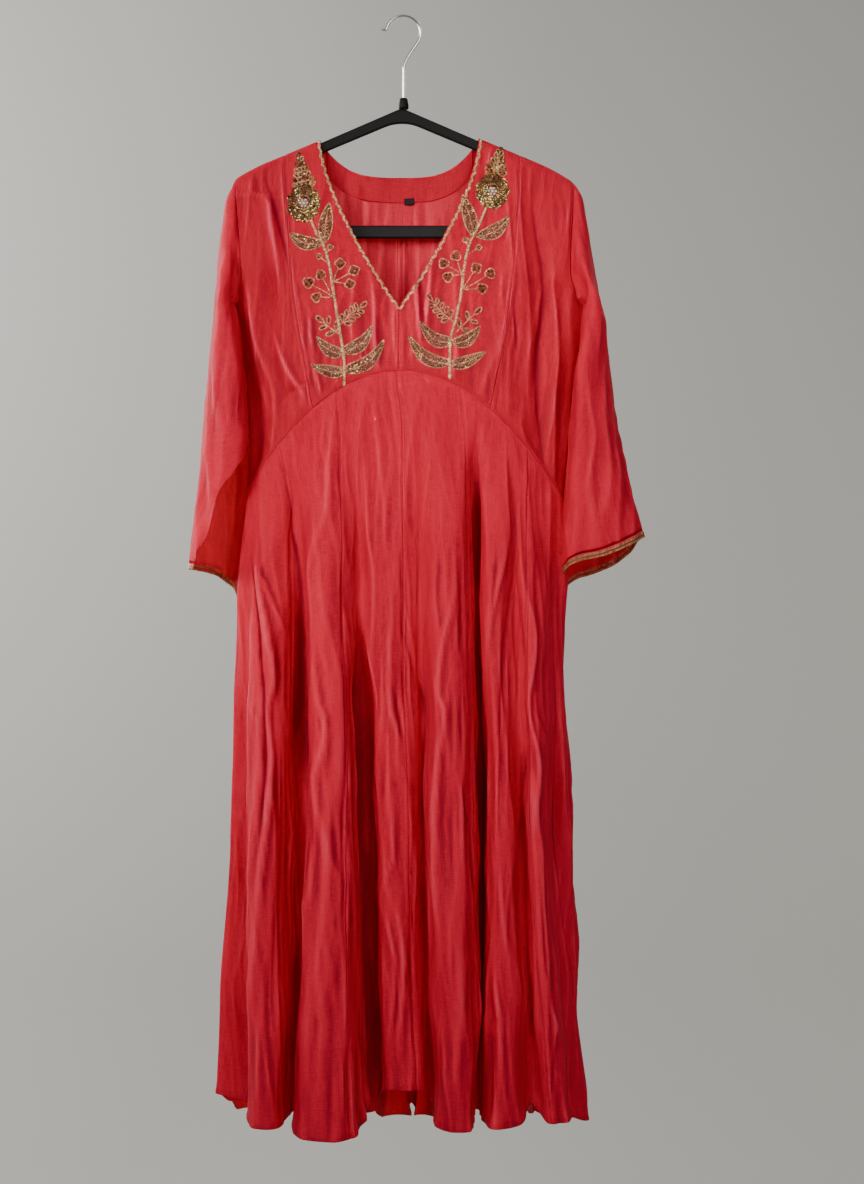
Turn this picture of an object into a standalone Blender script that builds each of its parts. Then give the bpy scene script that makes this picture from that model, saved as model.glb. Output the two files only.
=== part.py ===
# Anarkali gown on a hanger: every cut and sewn piece is a thin cloth wall of its own.
# Sizes are in millimetres and MM turns them into Blender's metres.
# X runs across the gown, the front faces -Y, +Z is up.
# The origin is where a rod carries the hook: the underside of its wire at the crest.

import math

import bmesh
import bpy
import numpy as np

MM = 0.001
WALL = 1.2  # thickness of a cloth wall
SEAM = 0.8  # two panels stay this far apart where they are sewn
LIFT = 0.35  # gap between a panel and what lies on it

# Shoulders: two straight slopes that follow the hanger's arms.
SHOULDER_PEAK = -112.0  # where the two slopes would meet, over the middle
SHOULDER_SLOPE = 0.418
SHOULDER_BEND = (185.0, 260.0)  # from this X the slope bends down, over this many
ARM_COVER = 7.0  # half the depth of cloth that passes over an arm
ARM_ROUND = 3.0  # height over which the cloth turns over the arm
SHOULDER_EASE = 30.0  # height over which the cloth leaves the shoulder seam

MIDDLE = -3.0  # X of the centre seams
NECK_HALF = 99.0  # half the neck's width, measured along the shoulders
V_DEEP = -369.0  # Z of the V's point
V_BOW = 1.5  # 1 is a straight V, more bows its sides outwards
BACK_NECK = -198.0  # Z of the back neckline at the middle
BACK_NECK_CURVE = 3.4
FACING_DEEP = 30.0
FACING_BELOW = 1.0  # the facing's top lies this far below the neckline
FACING_INWARD = 2.25  # between the middles of the back's wall and the facing's
FACING_ACROSS = 0.93  # share of the neck's width

# Empire seam: an arch in front, a shallower one behind, meeting at the side seams.
ARCH_TOP = -448.0
BACK_ARCH_TOP = -540.0
ARCH_FOOT = -604.0
ARCH_HALF = 202.0

PRINCESS_AT_SHOULDER = 147.0
PRINCESS_AT_WAIST = 109.0
PRINCESS_BOW = 6.0

BUST_FULL = 9.0  # how far the princess seams push the front out
BUST_AT = (92.0, -395.0)
BUST_SPREAD = (55.0, 75.0)

# Body sections: height, left and right half widths, depths from the middle plane, and how
# the side closes (0.5 is an ellipse, 1 a sharp edge).
BODY_COLUMNS = ("height", "left", "right", "front", "back", "edge")
BODY = (
    (-1420, 232, 231, 70, 80, 0.50),
    (-1348, 230, 229, 70, 80, 0.50),
    (-1229, 221, 221, 68, 77, 0.50),
    (-1104, 216, 219, 67, 74, 0.50),
    (-979, 209, 215, 66, 70, 0.50),
    (-854, 208, 206, 64, 66, 0.50),
    (-729, 203, 200, 63, 60, 0.55),
    (-604, 195, 202, 62, 52, 0.62),
    (-530, 191, 209, 59, 43, 0.72),
    (-470, 194, 213, 56, 35, 0.80),
    (-416, 200, 221, 52, 28, 0.85),
    (-358, 210, 228, 44, 21, 0.85),
    (-310, 230, 246, 34, 16, 0.80),
    (-260, 240, 254, 22, 12, 0.80),
    (-210, 246, 260, 11, 8, 0.80),
    (-150, 248, 262, 2, 2, 0.80),
)

# Armhole edge: height, and X of the seam on each side. It ends at the underarm.
ARMHOLE_COLUMNS = ("height", "left", "right")
ARMHOLE = (
    (-358, -210, 228),
    (-344, -203, 217),
    (-322, -199, 209.5),
    (-290, -201, 210),
    (-244, -206, 213),
    (-200, -208, 214),
)
UNDERARM = -358.0
ARMHOLE_TOP = -200.0

# Folds of the skirt, once round: the front from the left side seam to the right one, then the
# back. X at the empire seam, at the hip and at the hem; how far the cloth stands out (+) or
# sinks in (-) at the hem; where the fold begins (0 seam, 1 hem); how early it fills out
# (1 is even); how round it is; and how far its hem is lifted.
FOLD_COLUMNS = ("seam", "hip", "hem", "out", "begins", "early", "round", "lift")
FRONT_FOLDS = (
    (-197, -208, -230, 8, 0.00, 1.0, 1.0, 24),
    (-192, -193, -195, -18, 0.10, 1.6, 0.9, 16),
    (-182, -171, -165, 37, 0.05, 2.0, 1.6, 0),
    (-134, -119, -134, -26, 0.05, 2.6, 0.8, 8),
    (-88, -86, -92, 46, 0.00, 1.4, 1.9, -8),
    (-56, -49, -35, -44, 0.03, 3.4, 0.7, 26),
    (-14, -11, 3, -6, 0.00, 1.0, 1.5, 40),
    (24, 23, 36, -33, 0.10, 2.0, 0.7, 22),
    (58, 60, 66, 36, 0.03, 1.6, 1.8, 0),
    (88, 96, 95, -37, 0.00, 3.6, 0.7, 12),
    (112, 119, 120, 30, 0.03, 1.8, 1.6, 2),
    (138, 143, 160, 2, 0.05, 1.8, 0.9, 22),
    (161, 158, 191, 33, 0.03, 1.8, 1.5, 2),
    (188, 187, 208, 2, 0.10, 2.0, 0.8, 0),
    (204, 206, 230, 12, 0.00, 1.0, 1.0, -8),
)
# Behind, X at the seam and at the hip keep these shares of X at the hem.
BACK_SEAM_SHARE = 0.88
BACK_HIP_SHARE = 0.92
BACK_FOLD_COLUMNS = ("hem", "out", "begins", "early", "round", "lift")
BACK_FOLDS = (
    (214, -8, 0.12, 1.6, 1.0, -4),
    (195, 34, 0.06, 1.8, 1.5, -22),
    (168, -20, 0.04, 2.4, 0.8, -12),
    (140, 36, 0.02, 1.5, 1.7, -26),
    (111, -24, 0.08, 2.2, 0.8, -14),
    (78, 34, 0.03, 1.6, 1.8, -28),
    (49, -30, 0.02, 2.8, 0.8, -18),
    (27, 22, 0.06, 1.4, 1.3, -32),
    (11, -26, 0.10, 1.8, 0.8, -20),
    (-6, 20, 0.04, 1.6, 1.3, -32),
    (-35, -30, 0.02, 3.0, 0.8, -16),
    (-69, 36, 0.05, 1.5, 1.8, -28),
    (-101, -26, 0.03, 2.2, 0.8, -14),
    (-132, 34, 0.06, 1.7, 1.7, -24),
    (-161, -22, 0.05, 2.6, 0.8, -12),
    (-190, 32, 0.04, 1.6, 1.5, -18),
    (-214, -8, 0.10, 1.6, 1.0, 4),
)
HIP = 0.35  # share of the skirt's height at which the hip column holds
HEM = -1366.0
LOBE_LEVEL = 1.6  # more keeps a lobe's hem level for longer
STEEPEST = 2.6  # keeps a fold's two walls from leaning into each other
SEAM_CALM = 0.08  # share of the height where the skirt still follows the bodice
FACETS_PER_FOLD = 4.3
# Gore seams, as places along the folds: 4.25 lies a quarter of the way from fold 4 to fold 5.
GORE_SEAMS = (0, 2.7, 4.25, 6.2, 8.45, 11.8, 14, 17.1, 20.2, 23.4, 26.3, 29.4, 32)
GORE_NAMES = (
    "front_far_left", "front_left", "front_mid_left", "front_mid_right", "front_right",
    "front_far_right", "back_far_right", "back_right", "back_mid_right", "back_mid_left",
    "back_left", "back_far_left",
)

# Sleeves: height, inner and outer X, half the depth, and how far the inner seam gapes
# towards the front and the back, in degrees round the sleeve.
SLEEVE_COLUMNS = ("height", "inner", "outer", "deep", "gape_front", "gape_back")
SLEEVES = {
    "left": (
        (-745, -208, -270, 62, 150, 24),
        (-689, -205, -266, 66, 146, 22),
        (-641, -202, -261, 66, 118, 18),
        (-617, -201, -258, 65, 112, 15),
        (-596, -200, -255, 64, 104, 12),
        (-567, -199, -251, 62, 76, 8),
        (-534, -197, -248.5, 61, 24, 3),
        (-516, -197, -247, 61, 0.5, 0.5),
        (-454, -200, -240.5, 66, 0.5, 0.5),
        (-391, -207, -236, 70, 0.5, 0.5),
        (-356, -213, -234, 66, 0.5, 0.5),
        (-296, -201, -229, 52, 0.5, 0.5),
        (-256, -200, -224, 36, 0.5, 0.5),
        (-228, -200, -220, 22, 0.5, 0.5),
        (-201, -200, -210, 8, 0.5, 0.5),
    ),
    "right": (
        (-735, 205, 320, 40, 28, 42),
        (-690, 205.5, 312, 42, 22, 34),
        (-649, 206, 303, 46, 14, 20),
        (-622, 207, 296, 49, 8, 12),
        (-574, 211, 284, 54, 2, 3),
        (-526, 215, 272, 60, 0.5, 0.5),
        (-464, 219, 261, 66, 0.5, 0.5),
        (-391, 228, 254, 70, 0.5, 0.5),
        (-356, 232, 248, 66, 0.5, 0.5),
        (-296, 214, 241, 52, 0.5, 0.5),
        (-256, 208, 236, 36, 0.5, 0.5),
        (-228, 206, 232, 22, 0.5, 0.5),
        (-203, 206, 217, 8, 0.5, 0.5),
    ),
}
# Cuff: height of its edge once round, from the inner seam over the front, the outer fold and
# the back to the inner seam again.
CUFF_PLACES = (0.0, 0.25, 0.5, 0.75, 1.0)
CUFFS = {
    "left": (-690, -691, -697, -722, -740),
    "right": (-696, -676, -650, -690, -722),
}
SLEEVE_BACKWARD = 12.0  # the sleeves hang this far behind the middle plane
CAP_SHARE = 0.4  # share of a sleeve's length over which it leaves the armhole
ARMHOLE_CLEAR = 2.2
SLEEVE_OVER = 2.2  # where a sleeve lies over the bodice, between the middles of their walls
SIDE_CLEAR = 2.0  # between the sleeve's inner seam and the body's side seam
CUFF_TRIM = 6.0
TRIM_WALL = 1.2

NECK_TRIM = 3.4  # width of the scalloped cord
SCALLOP = 10.5  # length of one scallop
SCALLOP_SWAY = 1.0

FLOWER_THICK = 1.5
FLOWER_DOME = 1.6
FLOWER_PETALS = 9
FLOWER_COLUMNS = ("x", "z", "radius")
FLOWERS = {"left": (-119.5, -240, 19.5), "right": (112.5, -224, 19.5)}
LEAF_THICK = 1.0
LEAF_RIBS = 7
# Leaves: root, tip and width, for each side's spray.
LEAF_COLUMNS = ("root_x", "root_z", "tip_x", "tip_z", "wide")
LEAVES = {
    "left": (
        (-98, -281, -88, -242, 11),
        (-103, -285, -134, -273, 9),
        (-64, -418, -37, -393, 11),
        (-75, -420, -101, -402, 10),
        (-64, -444, -24, -411, 12),
        (-74, -452, -106, -440, 9),
    ),
    "right": (
        (92, -270, 86, -237, 10),
        (94, -274, 129, -262, 9),
        (55, -408, 27, -388, 11),
        (65, -412, 93, -394, 10),
        (54, -438, 12, -405, 12),
        (65, -442, 97, -426, 9),
    ),
}
STEM_THICK = 1.8
STEM_COLUMNS = ("x", "z")
STEMS = {
    "left": ((-68, -463), (-68, -427), (-75, -388), (-82, -346), (-87, -314), (-104, -274)),
    "right": ((59, -458), (60, -408), (66, -384), (73, -346), (78, -310), (98, -262)),
}

LABEL_WIDE = 12.5
LABEL_TALL = 8.0
LABEL_WALL = 1.0
LABEL_ASIDE = 12.0  # from the centre seam
LABEL_ABOVE = 4.0  # how far it reaches up over the facing's lower edge
LABEL_INWARD = 4.3  # between the middles of the back's wall and the label's

STEM_X = 2.0  # the hook's stem stands a little to one side
HANGER_HALF = 200.0
HANGER_THICK = 6.0
HANGER_ROUND = 2.0
ARM_UNDER_CLOTH = 2.0  # the arm's top lies this far below the shoulder line
ARM_TALL = 15.0
LEG_HALF = 168.0  # half the distance between the legs that carry the bar
LEG_WIDE = 13.0
BAR_TOP = -261.0
BAR_TALL = 16.0
HOLE_CORNER = 22.0
OUTER_CORNER = 7.0
COLLAR_RADIUS = 6.5
COLLAR_TALL = 13.0
APEX_ROUNDED = 1.5  # the arms' rounded apex lies this far below their meeting point

HOOK_WIRE = 3.2
HOOK_RADIUS = 21.6  # to the middle of the wire
HOOK_LEFT_END = 165  # degrees, where the bow ends and its tip turns out
HOOK_RIGHT_END = -33  # degrees, where the bow runs into the stem
HOOK_TIP = (-25.6, -15.8)
HOOK_STEM_TOP = -67.5

CORAL = (0.62, 0.030, 0.035, 1)
CORAL_INSIDE = (0.50, 0.022, 0.027, 1)
GOLD = (0.50, 0.27, 0.09, 1)
OLIVE_GOLD = (0.28, 0.20, 0.07, 1)
PALE_GOLD = (0.55, 0.37, 0.17, 1)
BLACK = (0.012, 0.011, 0.011, 1)
CHROME = (0.62, 0.63, 0.64, 1)


def smooth(xs, ys, x):
    """Value at x of a smooth curve through the points, with no overshoot between them."""
    xs = np.asarray(xs, float)
    ys = np.asarray(ys, float)
    steps = np.diff(xs)
    slopes = np.diff(ys) / steps
    tangents = np.zeros(len(xs))
    same_way = slopes[:-1] * slopes[1:] > 0
    tangents[1:-1][same_way] = (2 * slopes[:-1] * slopes[1:])[same_way] / (slopes[:-1] + slopes[1:])[same_way]
    tangents[0], tangents[-1] = slopes[0], slopes[-1]
    x = min(max(float(x), xs[0]), xs[-1])
    i = min(max(int(np.searchsorted(xs, x)) - 1, 0), len(xs) - 2)
    t = (x - xs[i]) / steps[i]
    start = (1 + 2 * t) * (1 - t) ** 2 * ys[i] + t * (1 - t) ** 2 * steps[i] * tangents[i]
    end = t * t * (3 - 2 * t) * ys[i + 1] + t * t * (t - 1) * steps[i] * tangents[i + 1]
    return start + end


def read(table, columns, name, height):
    return smooth([row[0] for row in table], [row[columns.index(name)] for row in table], height)


def ease(t):
    t = min(max(t, 0.0), 1.0)
    return t * t * (3 - 2 * t)


def mix(a, b, t):
    return a + (b - a) * t


# ---- body surface -------------------------------------------------------------------------


def half_width(x, z):
    return read(BODY, BODY_COLUMNS, "left" if x < 0 else "right", z)


def shoulder(x):
    drop = max(abs(x) - SHOULDER_BEND[0], 0) ** 2 / SHOULDER_BEND[1]
    return SHOULDER_PEAK - SHOULDER_SLOPE * abs(x) - drop


def depth(x, z, back):
    """How far the body's front or back wall stands from the middle plane."""
    below = max(shoulder(x) - z, 0.0)
    share = min(abs(x) / half_width(x, z), 1.0)
    lens = (1 - share**2) ** read(BODY, BODY_COLUMNS, "edge", z)
    fullest = read(BODY, BODY_COLUMNS, "back" if back else "front", z)
    over_arm = ARM_COVER * (1 - math.exp(-below / ARM_ROUND)) * ease((z - UNDERARM) / 60)
    out = fullest * lens * (1 - math.exp(-below / SHOULDER_EASE)) + over_arm
    if not back:
        aside = (abs(x) - BUST_AT[0]) / BUST_SPREAD[0]
        above = (z - BUST_AT[1]) / BUST_SPREAD[1]
        out += BUST_FULL * math.exp(-aside**2 - above**2)
    return out


def body_point(x, z, back, apart=0.0):
    """A point of the front or back wall, kept at least this far from the middle plane."""
    d = math.hypot(depth(x, z, back), apart)
    return np.array((x, d if back else -d, z))


def on_front(x, z, out):
    """A point of the bodice front, moved out of the cloth along its normal."""
    here = body_point(x, z, False)
    across = body_point(x + 1, z, False) - body_point(x - 1, z, False)
    down = body_point(x, z - 1, False) - body_point(x, z + 1, False)
    normal = np.cross(down, across)
    normal /= np.linalg.norm(normal)
    return here + normal * out * (1 if normal[1] < 0 else -1)


def arch(x, back):
    """Z of the empire seam. Behind, it meets the front's end at each side seam."""
    if not back:
        return mix(ARCH_TOP, ARCH_FOOT, (x / ARCH_HALF) ** 2)
    edge = half_width(x, ARCH_FOOT)
    return mix(BACK_ARCH_TOP, arch(edge, False), (x / edge) ** 2)


def neckline(t, side):
    """The V's edge from the shoulder (0) to its point (1)."""
    x = MIDDLE + side * NECK_HALF * (1 - t**V_BOW)
    start = shoulder(MIDDLE + side * NECK_HALF)
    return x, mix(start, V_DEEP, t)


def back_top(x):
    share = abs(x - MIDDLE) / NECK_HALF
    if share >= 1:
        return shoulder(x)
    return mix(BACK_NECK, shoulder(MIDDLE + math.copysign(NECK_HALF, x)), share**BACK_NECK_CURVE)


def side_edge(z, side):
    """X of the armhole seam, and of the side seam below the underarm."""
    if z >= UNDERARM:
        return read(ARMHOLE, ARMHOLE_COLUMNS, "left" if side < 0 else "right", z)
    return side * half_width(side, z)


def princess(share, side):
    """X of the princess seam, from the shoulder (0) to the empire seam (1)."""
    bow = PRINCESS_BOW * math.sin(math.pi * share)
    return side * (mix(PRINCESS_AT_SHOULDER, PRINCESS_AT_WAIST, share) + bow)


def height_share(x, z, back):
    top = back_top(x) if back else shoulder(x)
    return (top - z) / (top - arch(x, back))


def edge_by_share(places, back):
    """Turns points of an edge into X as a function of the share of the panel's height."""
    shares = [height_share(x, z, back) for x, z in places]
    return lambda share: float(np.interp(share, shares, [x for x, _ in places]))


V_SHARE = height_share(MIDDLE, V_DEEP, False)
# Shares of a panel's width: the back needs more near the neck, where it leaves the shoulder.
NECK_AT = NECK_HALF / (PRINCESS_AT_SHOULDER + abs(MIDDLE))
BACK_COLUMNS = (0, 0.22, 0.42, NECK_AT - 0.1, NECK_AT - 0.035, NECK_AT, 0.84, 1)
CENTRE_COLUMNS, SIDE_COLUMNS = 6, 5
TRIM_STEPS = 66
TRIM_FROM, TRIM_END = 0.014, 0.004  # shares of the height left free at the trim's ends
SHOULDER_ROWS = (0, 0.012, 0.035, 0.09, 0.17)
BODICE_ROWS = (0, 0.012, 0.035, 0.09, 0.17, 0.27, 0.38, 0.51, 0.64, V_SHARE, 0.88, 1)


def side_rows(side, back):
    """Rows of a side panel, close together where the armhole turns out to the underarm."""
    underarm = height_share(side_edge(UNDERARM, side), UNDERARM, back)
    turn = [underarm + step for step in (-0.1, -0.055, -0.028, 0, 0.05)]
    return [*SHOULDER_ROWS, *turn, *np.linspace(underarm + 0.15, 1, 5)]


def bodice_panel(side, back, outer):
    """Surface of a bodice panel: the centre one, or the one between princess and side seams."""
    seam = lambda share: princess(share, side)
    heights = np.linspace(shoulder(side_edge(ARMHOLE_TOP, side)), arch(side_edge(ARCH_FOOT, side), back), 60)
    if outer:
        inner_edge = seam
        outer_edge = edge_by_share([(side_edge(z, side), z) for z in heights], back)
    elif back:
        inner_edge = lambda share: MIDDLE
        outer_edge = seam
    else:
        places = [neckline(t, side) for t in np.linspace(0, 1, 40)]
        inner_edge = edge_by_share(places + [(MIDDLE, ARCH_TOP - 20)], back)
        outer_edge = seam

    def point(u, share):
        x = mix(inner_edge(share), outer_edge(share), u)
        top = back_top(x) if back else shoulder(x)
        return body_point(x, mix(top, arch(x, back), share), back, (WALL + SEAM) / 2)

    return point


# ---- skirt --------------------------------------------------------------------------------


def all_folds():
    rows = [dict(zip(FOLD_COLUMNS, row)) | {"back": False} for row in FRONT_FOLDS]
    for values in BACK_FOLDS:
        row = dict(zip(BACK_FOLD_COLUMNS, values)) | {"back": True}
        row["seam"] = row["hem"] * BACK_SEAM_SHARE
        row["hip"] = row["hem"] * BACK_HIP_SHARE
        rows.append(row)
    return rows


FOLDS = all_folds()


def fold_x(fold, down):
    """X of a fold: a smooth line through its places at the seam, the hip and the hem."""
    at_seam = (down - HIP) * (down - 1) / HIP
    at_hip = down * (1 - down) / (HIP * (1 - HIP))
    at_hem = down * (down - HIP) / (1 - HIP)
    return fold["seam"] * at_seam + fold["hip"] * at_hip + fold["hem"] * at_hem


def fold_out(fold, down):
    grown = min(max((down - fold["begins"]) / (1 - fold["begins"]), 0), 1)
    return fold["out"] * (1 - (1 - grown) ** fold["early"]) * ease(grown * 8)


def fold_height(fold, down):
    start = arch(fold["seam"], fold["back"])
    return mix(start, HEM + fold["lift"], down)


def fold_place(fold, down):
    """Where a fold's crest or trough lies, the way the cloth runs there, and its angle."""
    x, z = fold_x(fold, down), fold_height(fold, down)
    half = half_width(x, z)
    share = min(abs(x) / half, 1.0)
    away = depth(x, z, fold["back"]) + fold_out(fold, down)
    facing = 1 if fold["back"] else -1
    rise = math.sqrt(1 - share**2) * -facing
    run = np.array((half * rise, -read(BODY, BODY_COLUMNS, "front", z) * -math.copysign(share, x)))
    angle = math.atan2(rise, -math.copysign(share, x))
    return np.array((x, facing * away)), run / np.linalg.norm(run), angle % (2 * math.pi)


def skirt_point(place, down):
    """Point of the skirt's wall: place counts the folds round it, down runs from seam to hem."""
    first = int(math.floor(place)) % len(FOLDS)
    t = place - math.floor(place)
    a, b = FOLDS[first], FOLDS[(first + 1) % len(FOLDS)]
    start, start_run, start_angle = fold_place(a, down)
    end, end_run, end_angle = fold_place(b, down)
    step = end - start
    reach = np.linalg.norm(step)
    start_pull = min(a["round"] * reach, STEEPEST * abs(step @ start_run))
    end_pull = min(b["round"] * reach, STEEPEST * abs(step @ end_run))
    folded = (
        (1 + 2 * t) * (1 - t) ** 2 * start
        + t * (1 - t) ** 2 * start_pull * start_run
        + t * t * (3 - 2 * t) * end
        + t * t * (t - 1) * end_pull * end_run
    )
    back = a["back"] if t < 0.5 else b["back"]
    if first == len(FRONT_FOLDS) - 1:
        back = True
    if first == len(FOLDS) - 1:
        back = True
        end_angle = 2 * math.pi
    if end_angle < start_angle:
        end_angle += 2 * math.pi
    angle = mix(start_angle, end_angle, t)
    seam_z = mix(fold_height(a, 0), fold_height(b, 0), t)
    for _ in range(3):
        seam_x = -half_width(-math.cos(angle), seam_z) * math.cos(angle)
        seam_z = arch(seam_x, back)
    # A lobe's hem runs level and turns up only where the fold turns in.
    crest_first = a["out"] > b["out"]
    turned_in = ease(t**LOBE_LEVEL if crest_first else 1 - (1 - t) ** LOBE_LEVEL)
    hem_z = HEM + mix(a["lift"], b["lift"], turned_in)
    z = mix(seam_z, hem_z, down)
    plain_x = -half_width(-math.cos(angle), z) * math.cos(angle)
    plain = body_point(plain_x, z, back, (WALL + SEAM) / 2)
    x, y = mix(plain[:2], folded, ease(down / SEAM_CALM))
    return np.array((x, y, z))


# ---- sleeves ------------------------------------------------------------------------------


def sleeve_section(side, turn, z):
    """Point of a sleeve's section: turn runs from the inner seam over the front and round."""
    table = SLEEVES[side]
    inner = read(table, SLEEVE_COLUMNS, "inner", z)
    outer = read(table, SLEEVE_COLUMNS, "outer", z)
    deep = read(table, SLEEVE_COLUMNS, "deep", z)
    first = math.radians(read(table, SLEEVE_COLUMNS, "gape_front", z))
    last = math.tau - math.radians(read(table, SLEEVE_COLUMNS, "gape_back", z))
    angle = mix(first, last, turn)
    x = (inner + outer) / 2 + (inner - outer) / 2 * math.cos(angle)
    return np.array((x, SLEEVE_BACKWARD - deep * math.sin(angle), z))


def armhole_point(side, turn):
    """The armhole once round: underarm, up the front to the shoulder, and down the back."""
    sign = -1 if side == "left" else 1
    climb = 1 - abs(2 * turn - 1)
    tip = shoulder(side_edge(ARMHOLE_TOP, sign))
    z = mix(UNDERARM, tip, climb)
    x = side_edge(z, sign)
    clear = np.array((sign * ARMHOLE_CLEAR, 0, 0))
    return body_point(x, z, turn > 0.5, (WALL + SEAM) / 2) + clear


def sleeve_point(side):
    def point(turn, down):
        start = armhole_point(side, turn)
        z = mix(start[2], smooth(CUFF_PLACES, CUFFS[side], turn), down)
        here = sleeve_section(side, turn, z)
        at_armhole = sleeve_section(side, turn, start[2])
        here += (start - at_armhole) * (1 - ease(down / CAP_SHARE))
        body = half_width(here[0], min(z, UNDERARM)) + SIDE_CLEAR
        if abs(here[0]) < body and z < UNDERARM:
            here[0] = math.copysign(body, here[0])
        elif abs(here[0]) < abs(side_edge(z, here[0] / abs(here[0]))):
            least = depth(here[0], z, turn > 0.5) + SLEEVE_OVER
            here[1] = max(here[1], least) if turn > 0.5 else min(here[1], -least)
        return here

    return point


def moved_out(point, out, u, v, step=0.004):
    """A point of a surface, moved out along the surface's normal."""
    here = point(u, v)
    across = point(min(u + step, 1), v) - point(max(u - step, 0), v)
    down = point(u, min(v + step, 1)) - point(u, max(v - step, 0))
    normal = np.cross(across, down)
    return here + normal / np.linalg.norm(normal) * out


# ---- Blender ------------------------------------------------------------------------------


def clear_scene():
    for obj in list(bpy.data.objects):
        bpy.data.objects.remove(obj)


def material(name, colour, roughness, metallic=0.0):
    found = bpy.data.materials.get(name)
    if found:
        return found
    made = bpy.data.materials.new(name)
    made.use_nodes = True
    shader = made.node_tree.nodes["Principled BSDF"]
    shader.inputs["Base Color"].default_value = colour
    shader.inputs["Roughness"].default_value = roughness
    shader.inputs["Metallic"].default_value = metallic
    made.diffuse_color = colour
    return made


def add_object(name, data, look):
    made = bpy.data.objects.new(name, data)
    collection.objects.link(made)
    made.data.materials.append(look)
    return made


def wall_object(name, grid, thickness, look, closed=False, offset=0.0):
    """An open sheet of grid points, thickened into a closed wall."""
    rows, columns = grid.shape[:2]
    last = columns if closed else columns - 1
    faces = [
        (r * columns + c, (r + 1) * columns + c, (r + 1) * columns + (c + 1) % columns,
         r * columns + (c + 1) % columns)
        for r in range(rows - 1)
        for c in range(last)
    ]
    mesh = bpy.data.meshes.new(name)
    mesh.from_pydata([tuple(p * MM) for p in grid.reshape(-1, 3)], [], faces)
    mesh.shade_smooth()
    made = add_object(name, mesh, look)
    shell = made.modifiers.new("wall", "SOLIDIFY")
    shell.thickness = thickness * MM
    shell.offset = offset
    return made


def laid_on(point, us, vs, out, u, v):
    """A point moved out from a panel's own flat facets, for what lies on the panel."""
    c = min(max(int(np.searchsorted(us, u)) - 1, 0), len(us) - 2)
    r = min(max(int(np.searchsorted(vs, v)) - 1, 0), len(vs) - 2)
    s, t = (u - us[c]) / (us[c + 1] - us[c]), (v - vs[r]) / (vs[r + 1] - vs[r])
    upper = mix(point(us[c], vs[r]), point(us[c + 1], vs[r]), s)
    lower = mix(point(us[c], vs[r + 1]), point(us[c + 1], vs[r + 1]), s)
    return mix(upper, lower, t) + moved_out(point, out, u, v) - point(u, v)


def pull_in(grid, amount):
    """Moves a sheet's border inwards, which leaves the gap between sewn panels."""
    made = grid.copy()
    for border, inside in (((0, slice(None)), (1, slice(None))), ((-1, slice(None)), (-2, slice(None))),
                           ((slice(None), 0), (slice(None), 1)), ((slice(None), -1), (slice(None), -2))):
        way = grid[inside] - grid[border]
        made[border] += way / np.linalg.norm(way, axis=-1, keepdims=True) * amount
    return made


def panel(name, point, us, vs, look, thickness=WALL):
    grid = np.array([[point(u, v) for u in us] for v in vs])
    return wall_object(name, pull_in(grid, SEAM / 2), thickness, look)


def add_bodice():
    cloth = material("coral_cotton_silk", CORAL, 0.62)
    for side, side_name in ((-1, "left"), (1, "right")):
        for back, face in ((False, "front"), (True, "back")):
            for outer, place in ((False, "centre"), (True, "side")):
                columns = np.linspace(0, 1, SIDE_COLUMNS if outer else CENTRE_COLUMNS)
                if back and not outer:
                    columns = BACK_COLUMNS
                name = f"bodice_{face}_{place}_{side_name}"
                rows = side_rows(side, back) if outer else BODICE_ROWS
                panel(name, bodice_panel(side, back, outer), columns, rows, cloth)


def add_skirt():
    cloth = material("coral_cotton_silk", CORAL, 0.62)
    downs = np.concatenate((np.linspace(0, 0.16, 4), np.linspace(0.26, 1, 7)))
    for name, start, end in zip(GORE_NAMES, GORE_SEAMS, GORE_SEAMS[1:]):
        stops = sorted({start, end} | set(range(math.ceil(start), math.floor(end) + 1)))
        places = [start]
        for first, last in zip(stops, stops[1:]):
            parts = max(1, round((last - first) * FACETS_PER_FOLD))
            places += list(np.linspace(first, last, parts + 1)[1:])
        panel(f"skirt_{name}", skirt_point, places, downs, cloth)


def add_sleeves():
    cloth = material("coral_cotton_silk", CORAL, 0.62)
    gold = material("gold_lace", GOLD, 0.45, 0.6)
    turns = (0, 0.025, *np.linspace(0.05, 0.95, 19), 0.975, 1)
    downs = (0, 0.025, 0.07, 0.14, 0.22, 0.31, 0.41, 0.52, 0.63, 0.73, 0.82, 0.91, 1)
    for side in ("left", "right"):
        point = sleeve_point(side)
        panel(f"sleeve_{side}", point, turns, downs, cloth)
        out = ((WALL + TRIM_WALL) / 2 + LIFT) * (-1 if side == "left" else 1)
        length = abs(smooth(CUFF_PLACES, CUFFS[side], 0.5) - UNDERARM)
        upper = 1 - CUFF_TRIM / length
        trim = np.array([[laid_on(point, turns, downs, out, u, v) for u in turns] for v in (upper, 1)])
        wall_object(f"cuff_trim_{side}", pull_in(trim, SEAM / 2), TRIM_WALL, gold)


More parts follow.
